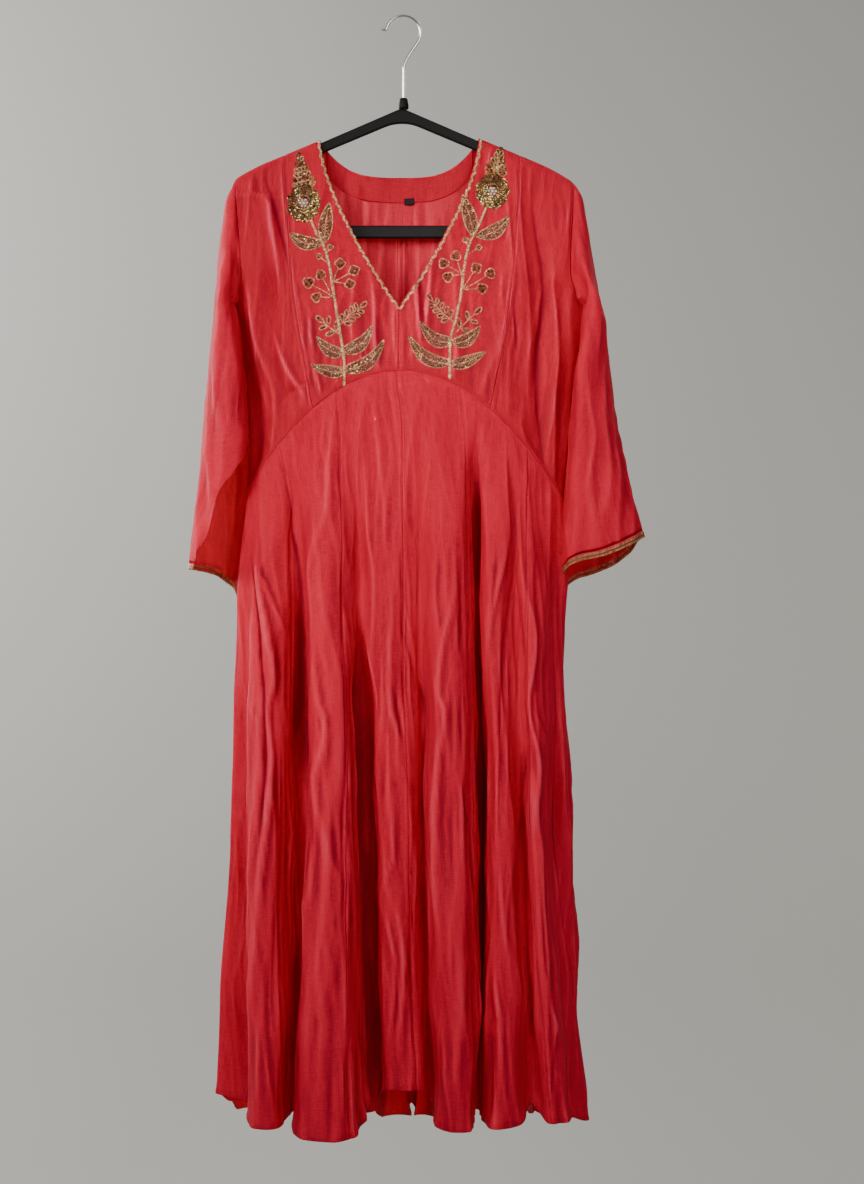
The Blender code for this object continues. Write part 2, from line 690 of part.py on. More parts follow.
def add_neck():
    cloth = material("coral_lining_side", CORAL_INSIDE, 0.66)
    gold = material("gold_lace", GOLD, 0.45, 0.6)
    grid = []
    for share in np.linspace(0, 1, 3):
        row = []
        for across in np.linspace(-FACING_ACROSS, FACING_ACROSS, 15):
            x = MIDDLE + NECK_HALF * across
            z = back_top(x) - FACING_BELOW - FACING_DEEP * share
            row.append(body_point(x, z, True) - np.array((0, FACING_INWARD, 0)))
        grid.append(row)
    wall_object("back_neck_facing", np.array(grid), WALL, cloth)
    columns = np.linspace(0, 1, CENTRE_COLUMNS)
    for side, side_name in ((-1, "left"), (1, "right")):
        point = bodice_panel(side, False, False)
        shares = np.linspace(TRIM_FROM, V_SHARE - TRIM_END, TRIM_STEPS)
        travelled = 0.0
        rows = ([], [])
        for number, share in enumerate(shares):
            here = point(0, share)
            if number:
                travelled += np.linalg.norm(here - before)
            before = here
            wide = np.linalg.norm(point(1, share) - here)
            sway = SCALLOP_SWAY * math.sin(math.tau * travelled / SCALLOP)
            for row, reach in zip(rows, (SCALLOP_SWAY + sway, SCALLOP_SWAY + sway + NECK_TRIM)):
                out = ((WALL + TRIM_WALL) / 2 + LIFT) * -side
                row.append(laid_on(point, columns, BODICE_ROWS, out, reach / wide, share))
        wall_object(f"neck_trim_{side_name}", np.array(rows), TRIM_WALL, gold)


def add_label():
    z = BACK_NECK - FACING_DEEP + LABEL_ABOVE
    look = material("black_label", BLACK, 0.7)
    grid = []
    for down in (0, LABEL_TALL):
        row = []
        for across in (-0.5, 0, 0.5):
            x = MIDDLE + LABEL_ASIDE + LABEL_WIDE * across
            row.append(body_point(x, z - down, True) - np.array((0, LABEL_INWARD, 0)))
        grid.append(row)
    wall_object("label", np.array(grid), LABEL_WALL, look)


def add_embroidery():
    beads = material("olive_gold_beads", OLIVE_GOLD, 0.5, 0.5)
    thread = material("pale_gold_thread", PALE_GOLD, 0.5, 0.5)
    for side, values in FLOWERS.items():
        flower = dict(zip(FLOWER_COLUMNS, values))
        grid = []
        for ring in (0.16, 0.5, 1.0):
            row = []
            for turn in np.linspace(0, math.tau, 3 * FLOWER_PETALS, endpoint=False):
                scallop = 1 - 0.05 * (1 - math.cos(FLOWER_PETALS * turn)) * ring
                radius = flower["radius"] * ring * scallop
                out = (WALL + FLOWER_THICK) / 2 + LIFT + FLOWER_DOME * (1 - ring**2)
                x = flower["x"] + radius * math.cos(turn)
                row.append(on_front(x, flower["z"] + radius * math.sin(turn), out))
            grid.append(row)
        wall_object(f"flower_{side}", np.array(grid), FLOWER_THICK, beads, closed=True)
    for side, leaves in LEAVES.items():
        for number, values in enumerate(leaves, 1):
            leaf = dict(zip(LEAF_COLUMNS, values))
            root = np.array((leaf["root_x"], leaf["root_z"]))
            tip = np.array((leaf["tip_x"], leaf["tip_z"]))
            way = (tip - root) / np.linalg.norm(tip - root)
            aside = np.array((-way[1], way[0]))
            grid = []
            for share in np.linspace(0, 1, LEAF_RIBS):
                half = leaf["wide"] / 2 * (0.12 + math.sin(math.pi * share**0.8) ** 0.8 * 0.88)
                middle = mix(root, tip, share)
                row = [middle + aside * half * w for w in (-1, 0, 1)]
                out = (WALL + LEAF_THICK) / 2 + LIFT
                grid.append([on_front(p[0], p[1], out) for p in row])
            wall_object(f"leaf_{side}_{number}", np.array(grid), LEAF_THICK, beads)
    for side, places in STEMS.items():
        xs, zs = [p[0] for p in places], [p[1] for p in places]
        heights = np.linspace(zs[0], zs[-1], 16)
        points = [on_front(smooth(zs, xs, z), z, (WALL + STEM_THICK) / 2 + LIFT + 0.1) for z in heights]
        wire(f"stem_{side}", points, STEM_THICK / 2, thread)


def wire(name, points, radius, look):
    curve = bpy.data.curves.new(name, "CURVE")
    curve.dimensions = "3D"
    curve.bevel_depth = radius * MM
    curve.bevel_resolution = 2
    curve.use_fill_caps = True
    spline = curve.splines.new("POLY")
    spline.points.add(len(points) - 1)
    for place, point in zip(spline.points, points):
        place.co = (*(np.array(point) * MM), 1)
    return add_object(name, curve, look)


def bezier(a, b, c, d, count):
    a, b, c, d = (np.array(p, float) for p in (a, b, c, d))
    return [
        a * (1 - t) ** 3 + b * 3 * t * (1 - t) ** 2 + c * 3 * t * t * (1 - t) + d * t**3
        for t in np.linspace(0, 1, count)
    ]


def rounded(corners, radius, count=4):
    """An outline through the corners, each one turned into a short arc."""
    made = []
    for before, corner, after in zip(corners[-1:] + corners[:-1], corners, corners[1:] + corners[:1]):
        before, corner, after = np.array(before), np.array(corner), np.array(after)
        to_before = (before - corner) / np.linalg.norm(before - corner)
        to_after = (after - corner) / np.linalg.norm(after - corner)
        room = min(np.linalg.norm(before - corner), np.linalg.norm(after - corner)) * 0.45
        reach = min(radius, room)
        made += bezier(corner + to_before * reach, corner + to_before * reach * 0.4,
                       corner + to_after * reach * 0.4, corner + to_after * reach, count)
    return made


def arm_line(x, under):
    return shoulder(x) - ARM_UNDER_CLOTH - under


def add_hanger():
    black = material("black_hanger", BLACK, 0.55)
    chrome = material("chrome_wire", CHROME, 0.12, 1.0)
    tip = HANGER_HALF
    leg_out, leg_in = LEG_HALF + LEG_WIDE / 2, LEG_HALF - LEG_WIDE / 2
    bar_low = BAR_TOP - BAR_TALL
    top_half = [(0, arm_line(0, 0)), (tip, arm_line(tip, 0)), (tip, arm_line(tip, ARM_TALL)),
                (leg_out, arm_line(leg_out, ARM_TALL)), (leg_out, bar_low)]
    outer = top_half + [(-x, z) for x, z in reversed(top_half[1:])]
    hole_half = [(0, arm_line(0, ARM_TALL)), (leg_in, arm_line(leg_in, ARM_TALL)), (leg_in, BAR_TOP)]
    hole = hole_half + [(-x, z) for x, z in reversed(hole_half[1:])]
    curve = bpy.data.curves.new("hanger", "CURVE")
    curve.dimensions = "2D"
    curve.fill_mode = "BOTH"
    curve.extrude = (HANGER_THICK / 2 - HANGER_ROUND) * MM
    curve.bevel_depth = HANGER_ROUND * MM
    curve.bevel_resolution = 1
    curve.offset = -HANGER_ROUND * MM
    for outline, radius in ((outer, OUTER_CORNER), (hole, HOLE_CORNER)):
        spline = curve.splines.new("POLY")
        points = rounded(outline, radius)
        spline.points.add(len(points) - 1)
        for place, point in zip(spline.points, points):
            place.co = (point[0] * MM, point[1] * MM, 0, 1)
        spline.use_cyclic_u = True
    hanger = add_object("hanger", curve, black)
    hanger.rotation_euler = (math.pi / 2, 0, 0)
    collar_low = arm_line(0, 0) - APEX_ROUNDED + LIFT
    mesh = bpy.data.meshes.new("hanger_collar")
    made = add_object("hanger_collar", mesh, black)
    solid = bmesh.new()
    bmesh.ops.create_cone(solid, cap_ends=True, segments=20, radius1=COLLAR_RADIUS * MM,
                          radius2=COLLAR_RADIUS * 0.8 * MM, depth=COLLAR_TALL * MM)
    solid.to_mesh(mesh)
    solid.free()
    made.location = (STEM_X * MM, 0, (collar_low + COLLAR_TALL / 2) * MM)

    centre = np.array((STEM_X - 0.5, HOOK_WIRE / 2 - HOOK_RADIUS))
    bow = [centre + HOOK_RADIUS * np.array((math.cos(math.radians(a)), math.sin(math.radians(a))))
           for a in np.linspace(HOOK_LEFT_END, HOOK_RIGHT_END, 19)]
    lead_out = bezier(HOOK_TIP, np.array(HOOK_TIP) + (3.5, 0), bow[0] + (-0.3, -3.0), bow[0], 6)[:-1]
    way = np.array((math.sin(math.radians(HOOK_RIGHT_END)), -math.cos(math.radians(HOOK_RIGHT_END))))
    stem_top = np.array((STEM_X, HOOK_STEM_TOP))
    lead_in = bezier(bow[-1], bow[-1] + way * 15, stem_top + (0, 13), stem_top, 9)[1:]
    stem_end = np.array((STEM_X, collar_low + COLLAR_TALL + LIFT))
    points = lead_out + bow + lead_in + [mix(stem_top, stem_end, 0.5), stem_end]
    wire("hook", [(p[0], 0, p[1]) for p in points], HOOK_WIRE / 2, chrome)


clear_scene()
collection = bpy.data.collections.new("anarkali_gown_on_hanger")
bpy.context.scene.collection.children.link(collection)
add_hanger()
add_bodice()
add_skirt()
add_sleeves()
add_neck()
add_label()
add_embroidery()
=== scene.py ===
import math

import bpy
import numpy as np
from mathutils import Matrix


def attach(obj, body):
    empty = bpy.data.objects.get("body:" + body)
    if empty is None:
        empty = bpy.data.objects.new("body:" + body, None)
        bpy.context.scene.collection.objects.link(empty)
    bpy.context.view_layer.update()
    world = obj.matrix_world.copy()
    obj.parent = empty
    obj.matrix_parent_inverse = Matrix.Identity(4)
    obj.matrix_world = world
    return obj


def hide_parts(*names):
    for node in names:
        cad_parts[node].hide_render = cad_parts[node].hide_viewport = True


# Anarkali gown on a hanger. Lengths in the tables are millimetres, Blender gets metres.
# X runs across the gown, the front faces -Y, +Z is up, and the hook hangs from the origin.
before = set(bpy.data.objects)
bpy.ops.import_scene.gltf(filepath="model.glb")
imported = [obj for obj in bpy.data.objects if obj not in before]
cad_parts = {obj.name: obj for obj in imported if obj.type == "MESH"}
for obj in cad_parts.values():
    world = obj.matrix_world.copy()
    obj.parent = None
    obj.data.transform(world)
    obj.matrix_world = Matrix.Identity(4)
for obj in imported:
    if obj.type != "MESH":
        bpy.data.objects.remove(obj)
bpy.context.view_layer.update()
mm = 0.001
tau = math.tau


cameraSetup = {"place": (0.0375, -2.4, -0.71875), "lens": 38.92, "sensor": 24.0}
stageSetup = {"floor": -3.7, "back": 4.7, "bend": 1.6, "half": 7.0, "front": -6.0, "top": 5.0}
lights = (
    # name, place, aim, width, height, watts, spread, colour
    ("windowLeft", (-2.05, -2.6, 0.4), (0.05, 0.0, -0.54), 1.0, 1.3, 6.2, 35, "#FFFAF6"),
    ("sideLeft", (-2.8, 0.2, 0.0), (-0.24, 0.0, -0.5), 0.5, 0.9, 1.5, 30, "#FFFFFF"),
    ("fillRight", (1.1, -3.1, 0.4), (0.08, 0.0, -0.3), 1.6, 1.6, 19.0, 105, "#FFFAF6"),
    ("cardRight", (0.2, -2.8, -0.1), (0.07, 0.0, -0.36), 0.3, 0.3, 0.15, 9, "#FFF4EC"),
    ("ceiling", (0.2, -0.6, 2.3), (0.0, 0.0, -0.5), 2.6, 2.6, 10.0, 180, "#FFFFFF"),
    ("backLeft", (-2.3, 2.1, 0.3), (-0.1, 0.0, -0.5), 1.2, 1.8, 96.0, 180, "#FFFFFF"),
    ("backRight", (0.8, 3.0, 1.3), (0.0, 0.0, -0.5), 1.6, 1.2, 64.0, 180, "#FFFFFF"),
    ("wallWash", (-3.4, 0.9, 0.9), (-2.4, 4.7, -0.3), 1.4, 2.4, 262.0, 180, "#FFFFFF"),
    ("wallFill", (3.9, 0.9, 0.4), (2.8, 4.7, -0.6), 1.4, 2.4, 27.0, 180, "#FFFAF0"),
)
worldSetup = {"colour": "#DAD6CE", "strength": 0.25}


def linearColour(hexColour):
    made = []
    for start in (1, 3, 5):
        c = int(hexColour[start:start + 2], 16) / 255
        made.append(c / 12.92 if c <= 0.04045 else ((c + 0.055) / 1.055) ** 2.4)
    return (*made, 1.0)


def setSockets(node, settings):
    for key, value in settings.items():
        node.inputs[key].default_value = value


def addNode(tree, kind, settings=None, links=None):
    node = tree.nodes.new(kind)
    for key, value in (settings or {}).items():
        if isinstance(key, int) or key in node.inputs:
            node.inputs[key].default_value = value
        else:
            setattr(node, key, value)
    for key, socket in (links or {}).items():
        tree.links.new(socket, node.inputs[key])
    return node


def aimAt(thing, place, target):
    way = np.array(target, float) - np.array(place, float)
    thing.location = place
    thing.rotation_euler = (
        math.acos(-way[2] / np.linalg.norm(way)), 0.0, math.atan2(-way[0], way[1]))


def newObject(name, data):
    made = bpy.data.objects.new(name, data)
    bpy.context.scene.collection.objects.link(made)
    return made


def makeCamera():
    data = bpy.data.cameras.new("viewpoint")
    data.sensor_width = cameraSetup["sensor"]
    data.lens = cameraSetup["lens"]
    camera = newObject("viewpoint", data)
    camera.location = cameraSetup["place"]
    camera.rotation_euler = (math.pi / 2, 0, 0)
    bpy.context.scene.camera = camera


def makeLights():
    for name, place, target, width, height, watts, spreadAngle, colour in lights:
        data = bpy.data.lights.new(name, "AREA")
        data.shape = "RECTANGLE"
        data.size, data.size_y = width, height
        data.energy = watts
        data.spread = math.radians(spreadAngle)
        data.color = linearColour(colour)[:3]
        aimAt(newObject(name, data), place, target)
    world = bpy.data.worlds.new("paleRoom")
    world.use_nodes = True
    sky = world.node_tree.nodes["Background"]
    sky.inputs["Color"].default_value = linearColour(worldSetup["colour"])
    sky.inputs["Strength"].default_value = worldSetup["strength"]
    bpy.context.scene.world = world


def makeStage(look):
    # a floor that bends up into a wall
    low, back, bend = stageSetup["floor"], stageSetup["back"], stageSetup["bend"]
    profile = [(stageSetup["front"], low)]
    for turn in np.linspace(0, math.pi / 2, 24):
        profile.append((back - bend + bend * math.sin(turn), low + bend - bend * math.cos(turn)))
    profile.append((back, stageSetup["top"]))
    half = stageSetup["half"]
    points = [(side * half, y, z) for y, z in profile for side in (-1, 1)]
    faces = [(2 * i, 2 * i + 1, 2 * i + 3, 2 * i + 2) for i in range(len(profile) - 1)]
    mesh = bpy.data.meshes.new("paleFloor")
    mesh.from_pydata(points, [], faces)
    mesh.shade_smooth()
    mesh.materials.append(look)
    newObject("paleFloor", mesh)


def curveBetween(start, startPull, end, endPull, t):
    # leaves start along startPull and reaches end along endPull
    return ((1 + 2 * t) * (1 - t) ** 2 * start + t * (1 - t) ** 2 * startPull
            + t * t * (3 - 2 * t) * end + t * t * (t - 1) * endPull)


def curveThrough(xs, ys, x):
    # smooth curve through the points with no overshoot
    xs, ys = np.asarray(xs, float), np.asarray(ys, float)
    steps = np.diff(xs)
    slopes = np.diff(ys) / steps
    tangents = np.zeros(len(xs))
    product = slopes[:-1] * slopes[1:]
    inner = product > 0
    tangents[1:-1][inner] = 2 * product[inner] / (slopes[:-1] + slopes[1:])[inner]
    tangents[0], tangents[-1] = slopes[0], slopes[-1]
    x = np.clip(np.asarray(x, float), xs[0], xs[-1])
    i = np.clip(np.searchsorted(xs, x) - 1, 0, len(xs) - 2)
    step = steps[i]
    return curveBetween(ys[i], step * tangents[i], ys[i + 1], step * tangents[i + 1], (x - xs[i]) / step)


def columnOf(table, columns, name, height):
    return curveThrough([row[0] for row in table], [row[columns.index(name)] for row in table], height)


def ease(t):
    t = np.clip(t, 0.0, 1.0)
    return t * t * (3 - 2 * t)


def mix(a, b, t):
    return a + (b - a) * t


def unit(v):
    return v / np.maximum(np.linalg.norm(v, axis=-1, keepdims=True), 1e-9)


def turned(vector, angle):
    c, s = math.cos(angle), math.sin(angle)
    return np.array((vector[0] * c - vector[1] * s, vector[0] * s + vector[1] * c))


def ringPoints(x, z, reach, turns, tall=1.0):
    return np.stack((x + reach * np.cos(turns), z + reach * tall * np.sin(turns)), -1)


def bend(a, b, c, d, count):
    # points along a cubic curve from a to d, pulled towards b and c
    t = np.linspace(0, 1, count)[:, None]
    a, b, c, d = (np.array(p, float) for p in (a, b, c, d))
    return a * (1 - t) ** 3 + b * 3 * t * (1 - t) ** 2 + c * 3 * t * t * (1 - t) + d * t**3


def runAlong(points, axis=0):
    # distance from the first point to each point, along the line through them
    run = np.cumsum(np.linalg.norm(np.diff(points, axis=axis), axis=-1), axis)
    return np.concatenate((0 * run.take([0], axis), run), axis)


def polyLine(curve, points, closed=False):
    spline = curve.splines.new("POLY")
    spline.points.add(len(points) - 1)
    for place, point in zip(spline.points, points):
        place.co = (*(c * mm for c in point), 1)
    spline.use_cyclic_u = closed
    return spline.points


shoulderLine = {
    # the line falls by slope from peak, and faster beyond bendFrom. Over the arms the cloth stands off by
    # armCover, which grows over the last coverOver mm below the underarm line
    "peak": -112.0, "slope": 0.418, "bendFrom": 170.0, "bend": 330.0,
    "armCover": 7.0, "armRound": 3.0, "coverOver": 60.0, "easeOver": 30.0,
}
# half is half the width at the shoulders, deep the point of the V and back the middle of the back edge
neck = {"middle": -3.0, "half": 99.0, "deep": -369.0, "bow": 1.5, "back": -198.0, "backCurve": 3.4}
# the arched seam: its heights in the middle of the front and of the back, and at half from the middle
empire = {"top": -448.0, "backTop": -540.0, "foot": -604.0, "half": 202.0}
princessSeam = {"shoulder": 147.0, "waist": 109.0, "bow": 6.0}  # distances from the middle
bust = {"out": 6.0, "x": 92.0, "z": -395.0, "wide": 55.0, "tall": 75.0}
wallGap = 1.0  # the walls stay this far from the middle plane at the sides
bodyColumns = ("height", "left", "right", "front", "back", "edge")
bodyTable = (
    (-1420, 232, 231, 70, 80, 0.50),
    (-1348, 230, 229, 70, 80, 0.50),
    (-1229, 221, 221, 68, 77, 0.50),
    (-1104, 216, 219, 67, 74, 0.50),
    (-979, 209, 215, 66, 70, 0.50),
    (-854, 208, 206, 64, 66, 0.50),
    (-729, 203, 200, 63, 60, 0.55),
    (-604, 195, 202, 62, 52, 0.62),
    (-530, 191, 209, 59, 43, 0.72),
    (-470, 194, 213, 56, 35, 0.80),
    (-416, 200, 221, 52, 28, 0.85),
    (-358, 210, 228, 44, 21, 0.85),
    (-310, 230, 246, 34, 16, 0.80),
    (-260, 240, 254, 22, 12, 0.80),
    (-210, 246, 260, 11, 8, 0.80),
    (-150, 248, 262, 2, 2, 0.80),
)
armholeColumns = ("height", "left", "right")
armholeTable = (
    (-358, -210, 228),
    (-344, -203, 217),
    (-322, -199, 209.5),
    (-290, -201, 210),
    (-244, -206, 213),
    (-200, -208, 214),
)
underarm = -358.0
armholeTop = -200.0


def bodyRead(name, z):
    return columnOf(bodyTable, bodyColumns, name, z)


def halfWidth(x, z):
    return np.where(np.asarray(x) < 0, bodyRead("left", z), bodyRead("right", z))


def shoulderAt(x):
    drop = np.maximum(np.abs(x) - shoulderLine["bendFrom"], 0) ** 2 / shoulderLine["bend"]
    return shoulderLine["peak"] - shoulderLine["slope"] * np.abs(x) - drop


def depthAt(x, z, back):
    below = np.maximum(shoulderAt(x) - z, 0.0)
    share = np.minimum(np.abs(x) / halfWidth(x, z), 1.0)
    lens = (1 - share**2) ** bodyRead("edge", z)
    fullest = np.where(back, bodyRead("back", z), bodyRead("front", z))
    overArm = shoulderLine["armCover"] * (1 - np.exp(-below / shoulderLine["armRound"]))
    out = fullest * lens * (1 - np.exp(-below / shoulderLine["easeOver"]))
    out = out + overArm * ease((z - underarm) / shoulderLine["coverOver"])
    aside = (np.abs(x) - bust["x"]) / bust["wide"]
    above = (z - bust["z"]) / bust["tall"]
    return out + np.where(back, 0.0, bust["out"] * np.exp(-(aside**2) - above**2))


def bodyPoint(x, z, back, apart=0.0):
    d = np.hypot(depthAt(x, z, back), apart)
    return np.stack(np.broadcast_arrays(x, np.where(back, d, -d), z), axis=-1)


def bodyNormal(x, z, back, apart=0.0):
    across = bodyPoint(x + 0.5, z, back, apart) - bodyPoint(x - 0.5, z, back, apart)
    up = bodyPoint(x, z + 0.5, back, apart) - bodyPoint(x, z - 0.5, back, apart)
    normal = unit(np.cross(across, up))
    facing = np.where(back, 1.0, -1.0)
    return normal * (np.sign(normal[..., 1]) * facing)[..., None]


def archAt(x, back):
    front = mix(empire["top"], empire["foot"], (x / empire["half"]) ** 2)
    edge = halfWidth(x, empire["foot"])
    foot = mix(empire["top"], empire["foot"], (edge / empire["half"]) ** 2)
    return np.where(back, mix(empire["backTop"], foot, (x / edge) ** 2), front)


def neckline(t, side):
    x = neck["middle"] + side * neck["half"] * (1 - t ** neck["bow"])
    return x, mix(shoulderAt(neck["middle"] + side * neck["half"]), neck["deep"], t)


def backTop(x):
    share = np.abs(x - neck["middle"]) / neck["half"]
    edge = shoulderAt(neck["middle"] + np.copysign(neck["half"], x))
    dip = mix(neck["back"], edge, np.minimum(share, 1) ** neck["backCurve"])
    return np.where(share >= 1, shoulderAt(x), dip)


def sideEdge(z, side):
    armhole = columnOf(armholeTable, armholeColumns, "left" if side < 0 else "right", z)
    return np.where(z >= underarm, armhole, side * halfWidth(side, z))


def princessAt(share, side):
    bow = princessSeam["bow"] * np.sin(math.pi * share)
    return side * (mix(princessSeam["shoulder"], princessSeam["waist"], share) + bow)


def heightShare(x, z, back):
    top = backTop(x) if back else shoulderAt(x)
    return (top - z) / (top - archAt(x, back))


def edgeByShare(x, z, back):
    shares = heightShare(x, z, back)
    return lambda share: np.interp(share, shares, x)


bodiceCreases = (
    # line (x, z) from the top down, half width, height. Its long side is to the left on a ridge
    # and to the right in a trough, or the other way round where the width is negative
    (((-187, -223), (-170, -230), (-159, -275), (-152, -330)), 7, 2.2),
    (((-170, -202), (-159, -240), (-138, -316)), 5, -1.6),
    (((-152, -188), (-144, -268), (-125, -379), (-116, -448)), 4, 1.0),
    (((-179, -332), (-183, -380), (-177, -449), (-169, -484)), 10, 2.2),
    (((-158, -401), (-141, -442), (-120, -477)), 5, 1.4),
    (((-115, -460), (-134, -471), (-152, -485)), 4, -0.8),
    (((-113, -381), (-108, -436), (-99, -478)), 3, 1.0),
    (((-51, -424), (-47, -451), (-46, -479)), 2.4, 0.9),
    (((-41, -417), (-39, -444), (-40, -472)), 2.2, -0.9),
    (((-34, -397), (-30, -438), (-29, -462)), 3, 0.9),
    (((-59, -203), (-63, -238), (-55, -280)), 3, 0.6),
    (((21, -332), (24, -359), (25, -387)), 2.2, -1.1),
    (((16, -325), (18, -359), (21, -401)), 3, 0.9),
    (((130, -242), (135, -332), (124, -401), (111, -470)), 5, 1.3),
    (((140, -201), (147, -283), (155, -380), (154, -449)), 7, 1.8),
    (((162, -242), (176, -346), (166, -449), (173, -518), (176, -552)), 7, -2.2),
    (((137, -378), (139, -395), (140, -412)), 2, -1.0),
    (((186, -332), (192, -415), (186, -484), (180, -552)), 7, 2.0),
    (((145, -512), (153, -539), (176, -584)), 3.6, 1.6),
    (((152, -546), (158, -560), (189, -598)), 3, -1.2),
)
skirtCreases = (
    (((-57, -820), (-52, -900), (-46, -1000), (-42, -1130), (-38, -1260), (-36, -1350)), 6, -8),
    (((-146, -590), (-137, -630), (-128, -670), (-123, -735), (-121, -830), (-125, -970), (-132, -1090),
      (-134, -1210)), -6, -10),
    (((91, -540), (93, -640), (93, -728), (95, -876), (100, -1050), (97, -1200)), -4, -5),
    (((-185, -679), (-172, -812), (-167, -866), (-170, -996)), 4, -6),
    (((-179, -685), (-162, -776), (-156, -824), (-163, -866), (-158, -927), (-161, -996)), 5, 6),
    (((-179, -685), (-161, -727), (-141, -776)), 4, 2.5),
    (((-193, -721), (-187, -764), (-175, -806)), 3, 2),
    (((-198, -824), (-182, -860), (-172, -881)), 3.5, 2),
    (((-156, -534), (-141, -595), (-128, -667)), 5, -2),
    (((-87, -534), (-90, -613), (-111, -691), (-113, -746)), 6, 3),
    (((-99, -691), (-92, -746), (-75, -830), (-73, -912), (-75, -996)), 7, 2.5),
    (((-105, -806), (-99, -848), (-89, -890), (-102, -951), (-99, -996)), 4.5, 3),
    (((-111, -881), (-111, -924), (-113, -987)), 3, -1.6),
    (((-69, -715), (-51, -776), (-54, -866)), 8, -2),
    (((-48, -534), (-39, -649), (-33, -703), (-36, -806)), 5, 3),
    (((-24, -655), (-27, -746), (-31, -806)), 8, 1.5),
    (((-15, -848), (-10, -872), (-3, -896)), 2.6, 2.4),
    (((-10, -839), (-5, -866), (-1, -890)), 2.6, -2),
    (((1, -764), (19, -821), (28, -878), (26, -927)), 4, -3),
    (((-3, -703), (7, -752), (25, -836)), 4, 1.6),
    (((46, -679), (44, -721), (49, -764)), 3.5, -2.2),
    (((65, -721), (49, -791), (46, -836), (53, -866), (45, -927), (42, -996)), 4, 2.6),
    (((74, -685), (70, -806), (71, -927), (85, -996)), 3, -1.8),
    (((127, -552), (127, -640), (111, -746), (105, -806)), 4, 3.5),
    (((115, -679), (112, -727), (111, -764)), 2.6, -1.8),
    (((135, -703), (127, -776), (122, -851), (118, -996)), 5, -3),
    (((144, -625), (150, -703), (160, -788), (155, -854), (164, -936), (161, -996)), 4.5, 6),
    (((145, -746), (149, -806), (152, -881), (148, -957)), 4, -5.5),
    (((157, -860), (171, -890), (176, -915)), 3, 1.8),
    (((176, -703), (171, -758), (170, -806)), 4, 2.2),
    (((188, -746), (190, -836), (191, -996)), 2.2, -2.4),
    (((151, -558), (157, -625), (160, -691)), 5, 2),
    (((-185, -984), (-182, -1033), (-184, -1073), (-198, -1157), (-210, -1206)), 4, 2.4),
    (((-198, -1073), (-195, -1120), (-204, -1169)), 4, -1.5),
    (((-159, -971), (-171, -1073), (-177, -1145), (-179, -1219)), 4, 3),
    (((-151, -1033), (-153, -1145), (-157, -1250)), 8, -2),
    (((-142, -1145), (-137, -1188), (-136, -1237)), 3, 1.4),
    (((-123, -971), (-128, -1033), (-130, -1089), (-131, -1169)), 4, 2),
    (((-111, -1011), (-108, -1073), (-120, -1117), (-125, -1157)), 4, 2.6),
    (((-99, -977), (-86, -1033), (-74, -1073), (-83, -1117)), 6, 2.4),
    (((-58, -984), (-52, -1058), (-58, -1110)), 4, -1.8),
    (((-89, -1145), (-95, -1200), (-108, -1237), (-112, -1299)), 7, 2.4),
    (((-71, -1145), (-66, -1200), (-67, -1240)), 3.5, 2.2),
    (((-61, -1188), (-61, -1237), (-66, -1312)), 6, -1.8),
    (((-10, -971), (-10, -1042), (-20, -1073), (-27, -1095)), 3, 2.2),
    (((-17, -1120), (-12, -1145), (-7, -1166)), 2.4, 1.8),
    (((1, -1138), (4, -1169), (1, -1200)), 2.6, 1.4),
    (((-27, -1169), (-15, -1206), (-13, -1250)), 5, 1.2),
    (((-6, -1145), (-4, -1206), (-15, -1275)), 4, -1.2),
    (((42, -971), (41, -1064), (41, -1145), (44, -1175)), 3, 1.8),
    (((78, -971), (76, -1045), (84, -1157)), 4, -1.2),
    (((84, -1166), (90, -1174), (96, -1184)), 3, 2.2),
    (((89, -1185), (93, -1219), (96, -1250)), 3, -1.6),
    (((103, -1206), (104, -1228), (118, -1240)), 2.6, -2.4),
    (((115, -1188), (118, -1216), (121, -1237)), 3, 1.8),
    (((143, -977), (135, -1033), (127, -1095), (124, -1145)), 4.5, 2.2),
    (((131, -1157), (140, -1194), (141, -1237)), 4, 1.4),
    (((152, -971), (143, -1021), (137, -1073)), 4, -2.2),
    (((160, -971), (168, -1045), (174, -1145), (181, -1225), (196, -1281), (199, -1327)), 4.5, 4.5),
    (((168, -1073), (172, -1145), (178, -1206), (180, -1250)), 3.4, -2.6),
    (((182, -977), (186, -1045), (197, -1101)), 4, 2),
    (((190, -971), (191, -1049), (199, -1126), (213, -1203)), 2.6, -2.6),
    (((165, -1206), (172, -1237), (168, -1281)), 4, -1.6),
    (((188, -1250), (186, -1287), (182, -1321)), 3, -2),
)


creaseShape = {
    # a crease has one long flank and one steep one, each a multiple of its half width, and a crest that is
    # rounded off. It fades over a share of its height, at most fadeMost + fadeLeast mm
    "long": 1.9, "steep": 0.75, "crest": 0.35, "fade": 0.3, "fadeMost": 45.0, "fadeLeast": 4.0, "reach": 90.0,
}
spareShape = {"length": (50, 260), "lean": (-0.16, 0.16), "bow": (-9, 9), "width": (2.6, 7),
              "height": (0.35, 1)}


